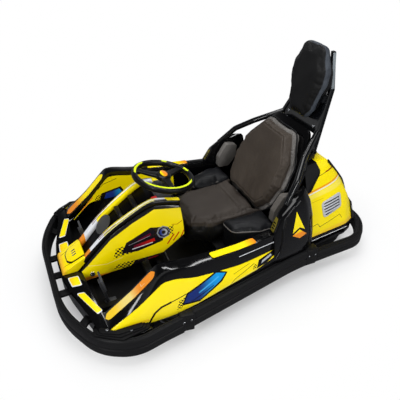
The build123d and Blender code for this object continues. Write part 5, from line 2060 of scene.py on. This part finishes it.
@dataclass
class SteeringWheel:
    """The steering wheel: a gripped ring, lime inlays, three spokes and a blank centre badge."""

    kart: Kart
    centre: tuple = (0.266, 0.0, 0.6025)
    tilt: float = 12.0
    radius: float = 0.15
    grip: float = 0.015
    hub: tuple = pairs(38, -11, 41, -4, 40, 9, 32, 14, 0.5, 15)
    inlays: tuple = ((-62, -8, 0.148), (28, 150, 0.147), (186, 202, 0.147), (242, 254, 0.147))
    spokes: tuple = spots(4, 20, 26, 9, 0, 60, 20, 8, -2, 105, 16, 7, -1, 145, 20, 8, 0)

    def at(self, ahead: float, side: float, up: float) -> Vector:
        """A place in the wheel's own directions.

        Args:
            ahead, side, up: distances from its centre.

        Returns:
            The place.
        """
        lean = math.radians(self.tilt)
        forward = Vector((math.cos(lean), 0, math.sin(lean)))
        axis = Vector((-math.sin(lean), 0, math.cos(lean)))
        return Vector(self.centre) + forward * ahead + Vector((0, side, 0)) + axis * up

    def arc(self, radius: float, up: float, start: float, end: float, count: int) -> list[Point]:
        """Points along an arc of the wheel.

        Args:
            radius, up: its size and height.
            start, end: degrees from the front.
            count: its steps.

        Returns:
            The points.
        """
        made = []
        for step in range(count + 1):
            angle = math.radians(start + (end - start) * step / count)
            made.append(tuple(self.at(radius * math.cos(angle), radius * math.sin(angle), up)))
        return made

    def build(self) -> None:
        """Make the ring with its hub and spokes, the inlays and the badge."""
        kart = self.kart
        axis = tuple(self.at(0, 0, 1) - Vector(self.centre))
        parts = [self.ring()] + [self.spoke(math.radians(angle)) for angle in (90.0, 210.0, 330.0)]
        rows = [self.oval(reach, reach, up, 40) for reach, up in self.hub]
        parts.append(Bench.smooth(Bench.skin("hub", rows, ring=True, caps=True), 30))
        grip = Plastic("grip_black", srgb(10, 10, 11), 0.3, 0.3, 0.05).make()
        kart.add(Bench.join("wheel_grip", parts), grip, "grip_black", "steering_wheel", body="steering")
        bits = []
        widths = [max(min(min(i, 30 - i) / 2.5, 1.0), 0.25) for i in range(31)]
        for start, end, reach in self.inlays:
            path = self.arc(reach, 0.0155, start, end, 30)
            bits.append(Bench.sweep("lime", path, flat_bar(0.0068, -0.002, 0.0012, 0.8), axis, False, widths))
        kart.add(Bench.smooth(Bench.join("wheel_inlays", bits), 50), kart.finish.lime, "grip_black", body="steering")
        badge = Bench.plate("wheel_badge", self.oval(0.018, 0.03, 0.0145, 36), Vector(axis) * 0.004, 0.0012)
        layers = (Patch(Hue.ORANGE, pairs(200, -50, 270, -50, 270, 50, 200, 50), soft=0.01),)
        paint = Plastic("badge_yellow", Hue.YELLOW, 0.2, 0.6, plane=Plane.TOP, layers=layers).make()
        kart.add(badge, paint, "grip_black", body="steering")

    def ring(self) -> Thing:
        """The gripped ring, a little thicker where the thumbs rest.

        Returns:
            The ring.
        """
        rows = []
        for step in range(96):
            angle = math.tau * step / 96
            thumb = 1 + 0.14 * max(math.cos(2 * angle - math.pi), 0) ** 6
            wide, tall = self.grip * thumb, self.grip * 1.05
            row = []
            for turn in range(18):
                phase = math.tau * turn / 18
                reach = self.radius + wide * math.copysign(abs(math.cos(phase)) ** 0.8, math.cos(phase))
                reach = reach - self.grip * (thumb - 1)
                rise = tall * math.copysign(abs(math.sin(phase)) ** 0.8, math.sin(phase))
                row.append(tuple(self.at(reach * math.cos(angle), reach * math.sin(angle), rise)))
            rows.append(row)
        return Bench.smooth(Bench.skin("wheel_ring", rows, ring=True, loop=True), 60)

    def spoke(self, turn: float) -> Thing:
        """One waisted spoke.

        Args:
            turn: its angle from the front.

        Returns:
            The spoke.
        """
        rows = []
        for reach, wide, tall, drop in self.spokes:
            row = []
            for a, b in oblong(wide, tall, 0.004, 3):
                ahead = reach * math.cos(turn) - a * math.sin(turn)
                side = reach * math.sin(turn) + a * math.cos(turn)
                row.append(tuple(self.at(ahead, side, b + drop)))
            rows.append(row)
        return Bench.smooth(Bench.skin("spoke", rows, ring=True, caps=True), 40)

    def oval(self, long: float, wide: float, up: float, count: int) -> list[Point]:
        """Points round an oval on the wheel's axis, by its two half sizes and its height."""
        turns = [math.tau * i / count for i in range(count)]
        return [tuple(self.at(long * math.cos(turn), wide * math.sin(turn), up)) for turn in turns]


@dataclass
class Wheels:
    """Four wheels: treaded tyres on spoked rims, each end by place, radius and width."""

    kart: Kart
    front: tuple = (0.43, 0.43, 0.12, 0.095)
    rear: tuple = (-0.63, 0.25, 0.135, 0.12)

    def build(self) -> None:
        """Make each tyre and dress each rim."""
        kart = self.kart
        for end, (x, y, radius, width) in (("front", self.front), ("rear", self.rear)):
            for side, sign in (("left", 1), ("right", -1)):
                body = f"{end}_wheel_{side}"
                tyre = self.tyre(f"{end}_tread_{side}", (x, sign * y, radius), radius, width)
                kart.add(tyre, kart.finish.rubber, "tyre_black", f"{end}_tyre_{side}", body=body)
                rim = (f"{end}_rim_{side}", f"{end}_hub_{side}", (0.002, 2, 35))
                kart.dress(*rim, kart.finish.rim, "rim_silver", body)

    @staticmethod
    def tyre(name: str, centre: Point, radius: float, width: float, count: int = 96) -> Thing:
        """A tyre with a rounded shoulder, two grooves round it and cut blocks.

        Args:
            name: its name.
            centre: its middle.
            radius, width: its size.
            count: points round it.

        Returns:
            The tyre.
        """
        half, seat = width / 2, 0.0655
        line = [(0.8, seat), (0.93, seat + 0.01), (1.0, (seat + radius) / 2), (0.97, radius - 0.014)]
        line += [(0.88, radius - 0.004), (0.74, radius), (0.4, radius), (0.38, radius - 0.005)]
        line += [(0.28, radius - 0.005), (0.26, radius)]
        rows = []
        for across, reach in whole(line):
            row = []
            for step in range(count):
                angle = math.tau * step / count
                cut = 0.004 if abs(across) > 0.39 and reach > radius - 0.006 and step % 4 == 0 else 0.0
                far, up = (reach - cut) * math.sin(angle), (reach - cut) * math.cos(angle)
                row.append((centre[0] + far, centre[1] + across * half, centre[2] + up))
            rows.append(row)
        return Bench.smooth(Bench.skin(name, rows, ring=True, loop=True), 32)


@dataclass
class Underpinnings:
    """What shows between and under the bodywork: frame, pan, steering gear, drive, battery, pedals."""

    kart: Kart
    wing_low: float = 0.069
    wing_thick: float = 0.0036
    wings: tuple = (
        pairs(592, 286.5, 592, 588, 630, 585, 700, 561, 765, 519, 765, 286.5),
        pairs(524, 508, 524, 579.5, 592, 588, 592, 446),
        pairs(400, 542, 400, 564, 524, 579.5, 524, 560.5),
        pairs(-200, 286.5, -200, 430, 268, 512, 268, 286.5),
    )

    def build(self) -> None:
        """Dress the nodes that stay as they are, the floor plates and the pedals."""
        finish = self.kart.finish
        plain = {
            finish.frame: (
                "frame_rails", "cross_tubes", "outriggers", "seat_posts", "battery_stand", "column_supports"
            ),
            finish.pan: ("floor_pan",),
            finish.steel: (
                "front_axle", "steering_column", "tie_rod_left", "tie_rod_right", "knuckle_left", "knuckle_right"
            ),
            finish.cast: ("drive_unit",),
            finish.grey: ("battery_pack",),
        }
        for material, nodes in plain.items():
            for name in nodes:
                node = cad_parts[name]
                node.data.materials.clear()
                node.data.materials.append(material)
                LOG.info("%s keeps its solid", name)
        plates = []
        for shape in self.wings:
            outline = [(x, y, self.wing_low) for x, y in shape]
            plates.append(Bench.plate("wing", outline, (0, 0, self.wing_thick), 0.001))
        self.kart.pair(Bench.join("floor_wings_left", plates), finish.pan, "pan_black")
        for name in ("brake_pedal", "throttle_pedal"):
            self.kart.dress(name, name.replace("pedal", "foot_pedal"), (0.003, 2, 35), finish.grey, "pedal_grey")


@dataclass
class Studio:
    """A white floor and background, soft lamps and the camera."""

    eye: tuple = (0.904, 1.806, 1.81)
    look: tuple = (0.068, 0.0, 0.35)

    def build(self) -> None:
        """Set the floor, world, lamps and camera."""
        scene = bpy.context.scene
        scene.view_settings.view_transform = "Standard"
        Bench.clear()
        bpy.ops.mesh.primitive_plane_add(size=60.0, location=(0, 0, -0.0005))
        floor = bpy.context.object
        floor.name = "studio_floor"
        floor.data.materials.append(self.floor())
        lamps = [
            self.lamp("lamp_top", (0.2, 0.3, 3.6), (0.0, 0.0, 0.3), (2.4, 2.4), 66.0),
            self.lamp("lamp_front", (2.6, 1.9, 2.0), (0.1, 0.0, 0.3), (0.3, 1.8), 25.0),
            self.lamp("lamp_side", (-0.8, 3.0, 1.9), (-0.2, 0.0, 0.4), (2.0, 0.3), 27.0),
            self.lamp("lamp_back", (-0.9, -1.5, 3.0), (-0.2, 0.0, 0.5), (2.2, 0.25), 20.0),
        ]
        self.world()
        camera = bpy.data.objects.new("camera", bpy.data.cameras.new("camera"))
        scene.collection.objects.link(camera)
        camera.location = self.eye
        camera.rotation_euler = (Vector(self.look) - Vector(self.eye)).to_track_quat("-Z", "Y").to_euler()
        camera.data.sensor_width = 36.0
        camera.data.lens = 39.25
        camera.data.shift_x = 0.005
        camera.data.shift_y = 0.015
        scene.camera = camera

    @staticmethod
    def lamp(name: str, spot: Point, look: Point, size: Point, power: float) -> Thing:
        """One soft lamp.

        Args:
            name: its name.
            spot, look: where it stands and looks.
            size: its width and height.
            power: its watts.

        Returns:
            The lamp.
        """
        data = bpy.data.lights.new(name, "AREA")
        data.shape = "RECTANGLE"
        data.size, data.size_y = size
        data.energy = power
        obj = bpy.data.objects.new(name, data)
        bpy.context.scene.collection.objects.link(obj)
        obj.location = spot
        obj.rotation_euler = (Vector(look) - Vector(spot)).to_track_quat("-Z", "Y").to_euler()
        return obj

    @staticmethod
    def floor() -> Material:
        """A pale floor that takes the kart's shadow near it and turns white to the camera farther out.

        Returns:
            The material.
        """
        shade = Shade("floor_white")
        x, y = shade.axes(Plane.TOP)
        cloud = shade.noise(0.8, 2.0)
        colour = shade.mix(cloud * 0.3, (0.93, 0.93, 0.93, 1.0), (0.9, 0.9, 0.9, 1.0))
        pale = shade.node(
            "ShaderNodeBsdfPrincipled", None, {"Base Color": colour, "Roughness": 0.9, "Specular IOR Level": 0.0}
        )
        white = shade.node("ShaderNodeEmission", None, {0: (1.0, 1.0, 1.0, 1.0), 1: 1.0})
        reach = ((x / 1.05) ** 2.0 + (y / 0.75) ** 2.0) ** 0.5
        seen = Sock(shade, shade.node("ShaderNodeLightPath").outputs["Is Camera Ray"])
        amount = (reach.rise(0.7, 1.35) * 0.75 + 0.25) * seen
        mixed = shade.node("ShaderNodeMixShader", None, {0: amount, 1: pale.outputs[0], 2: white.outputs[0]})
        dim = shade.node("ShaderNodeBsdfDiffuse", None, {0: (0.16, 0.16, 0.17, 1.0)})
        mirrored = shade.node("ShaderNodeLightPath").outputs["Is Glossy Ray"]
        mixed = shade.node("ShaderNodeMixShader", None, {0: mirrored, 1: mixed.outputs[0], 2: dim.outputs[0]})
        shade.node("ShaderNodeOutputMaterial", None, {0: mixed.outputs[0]})
        return shade.material

    @staticmethod
    def world() -> None:
        """White to the camera, a soft fill as light, and a pale band above a dark floor line in reflections."""
        scene = bpy.context.scene
        scene.world = bpy.data.worlds.new("studio_world")
        shade = Shade("studio_world", scene.world)
        path = shade.node("ShaderNodeLightPath").outputs
        height = shade.node("ShaderNodeSeparateXYZ", None, {0: shade.coords.outputs["Generated"]}).outputs[2]
        band = shade.node("ShaderNodeMapRange", None, {0: height, 1: 0.05, 2: 0.45, 3: 0.6, 4: 0.05})
        fill = shade.node("ShaderNodeBackground", None, {0: (0.95, 0.97, 1.0, 1.0), 1: 0.42})
        gloss = shade.node("ShaderNodeBackground", None, {0: (0.97, 0.98, 1.0, 1.0), 1: band.outputs[0]})
        white = shade.node("ShaderNodeBackground", None, {0: (1.0, 1.0, 1.0, 1.0), 1: 1.0})
        glossy, seen = path["Is Glossy Ray"], path["Is Camera Ray"]
        lit = shade.node("ShaderNodeMixShader", None, {0: glossy, 1: fill.outputs[0], 2: gloss.outputs[0]})
        mixed = shade.node("ShaderNodeMixShader", None, {0: seen, 1: lit.outputs[0], 2: white.outputs[0]})
        shade.node("ShaderNodeOutputWorld", None, {0: mixed.outputs[0]})


def main() -> None:
    """Build the kart's pieces in order, then the studio."""
    logging.basicConfig(level=logging.INFO, format="%(name)s: %(message)s")
    kart = Kart()
    order = (Underpinnings, Bumper, FrontFairing, Cowl, SidePods, RearBody, RollFrame, Seat, SteeringWheel, Wheels)
    for builder in order:
        builder(kart).build()
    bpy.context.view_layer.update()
    Studio().build()


if __name__ == "__main__":
    main()
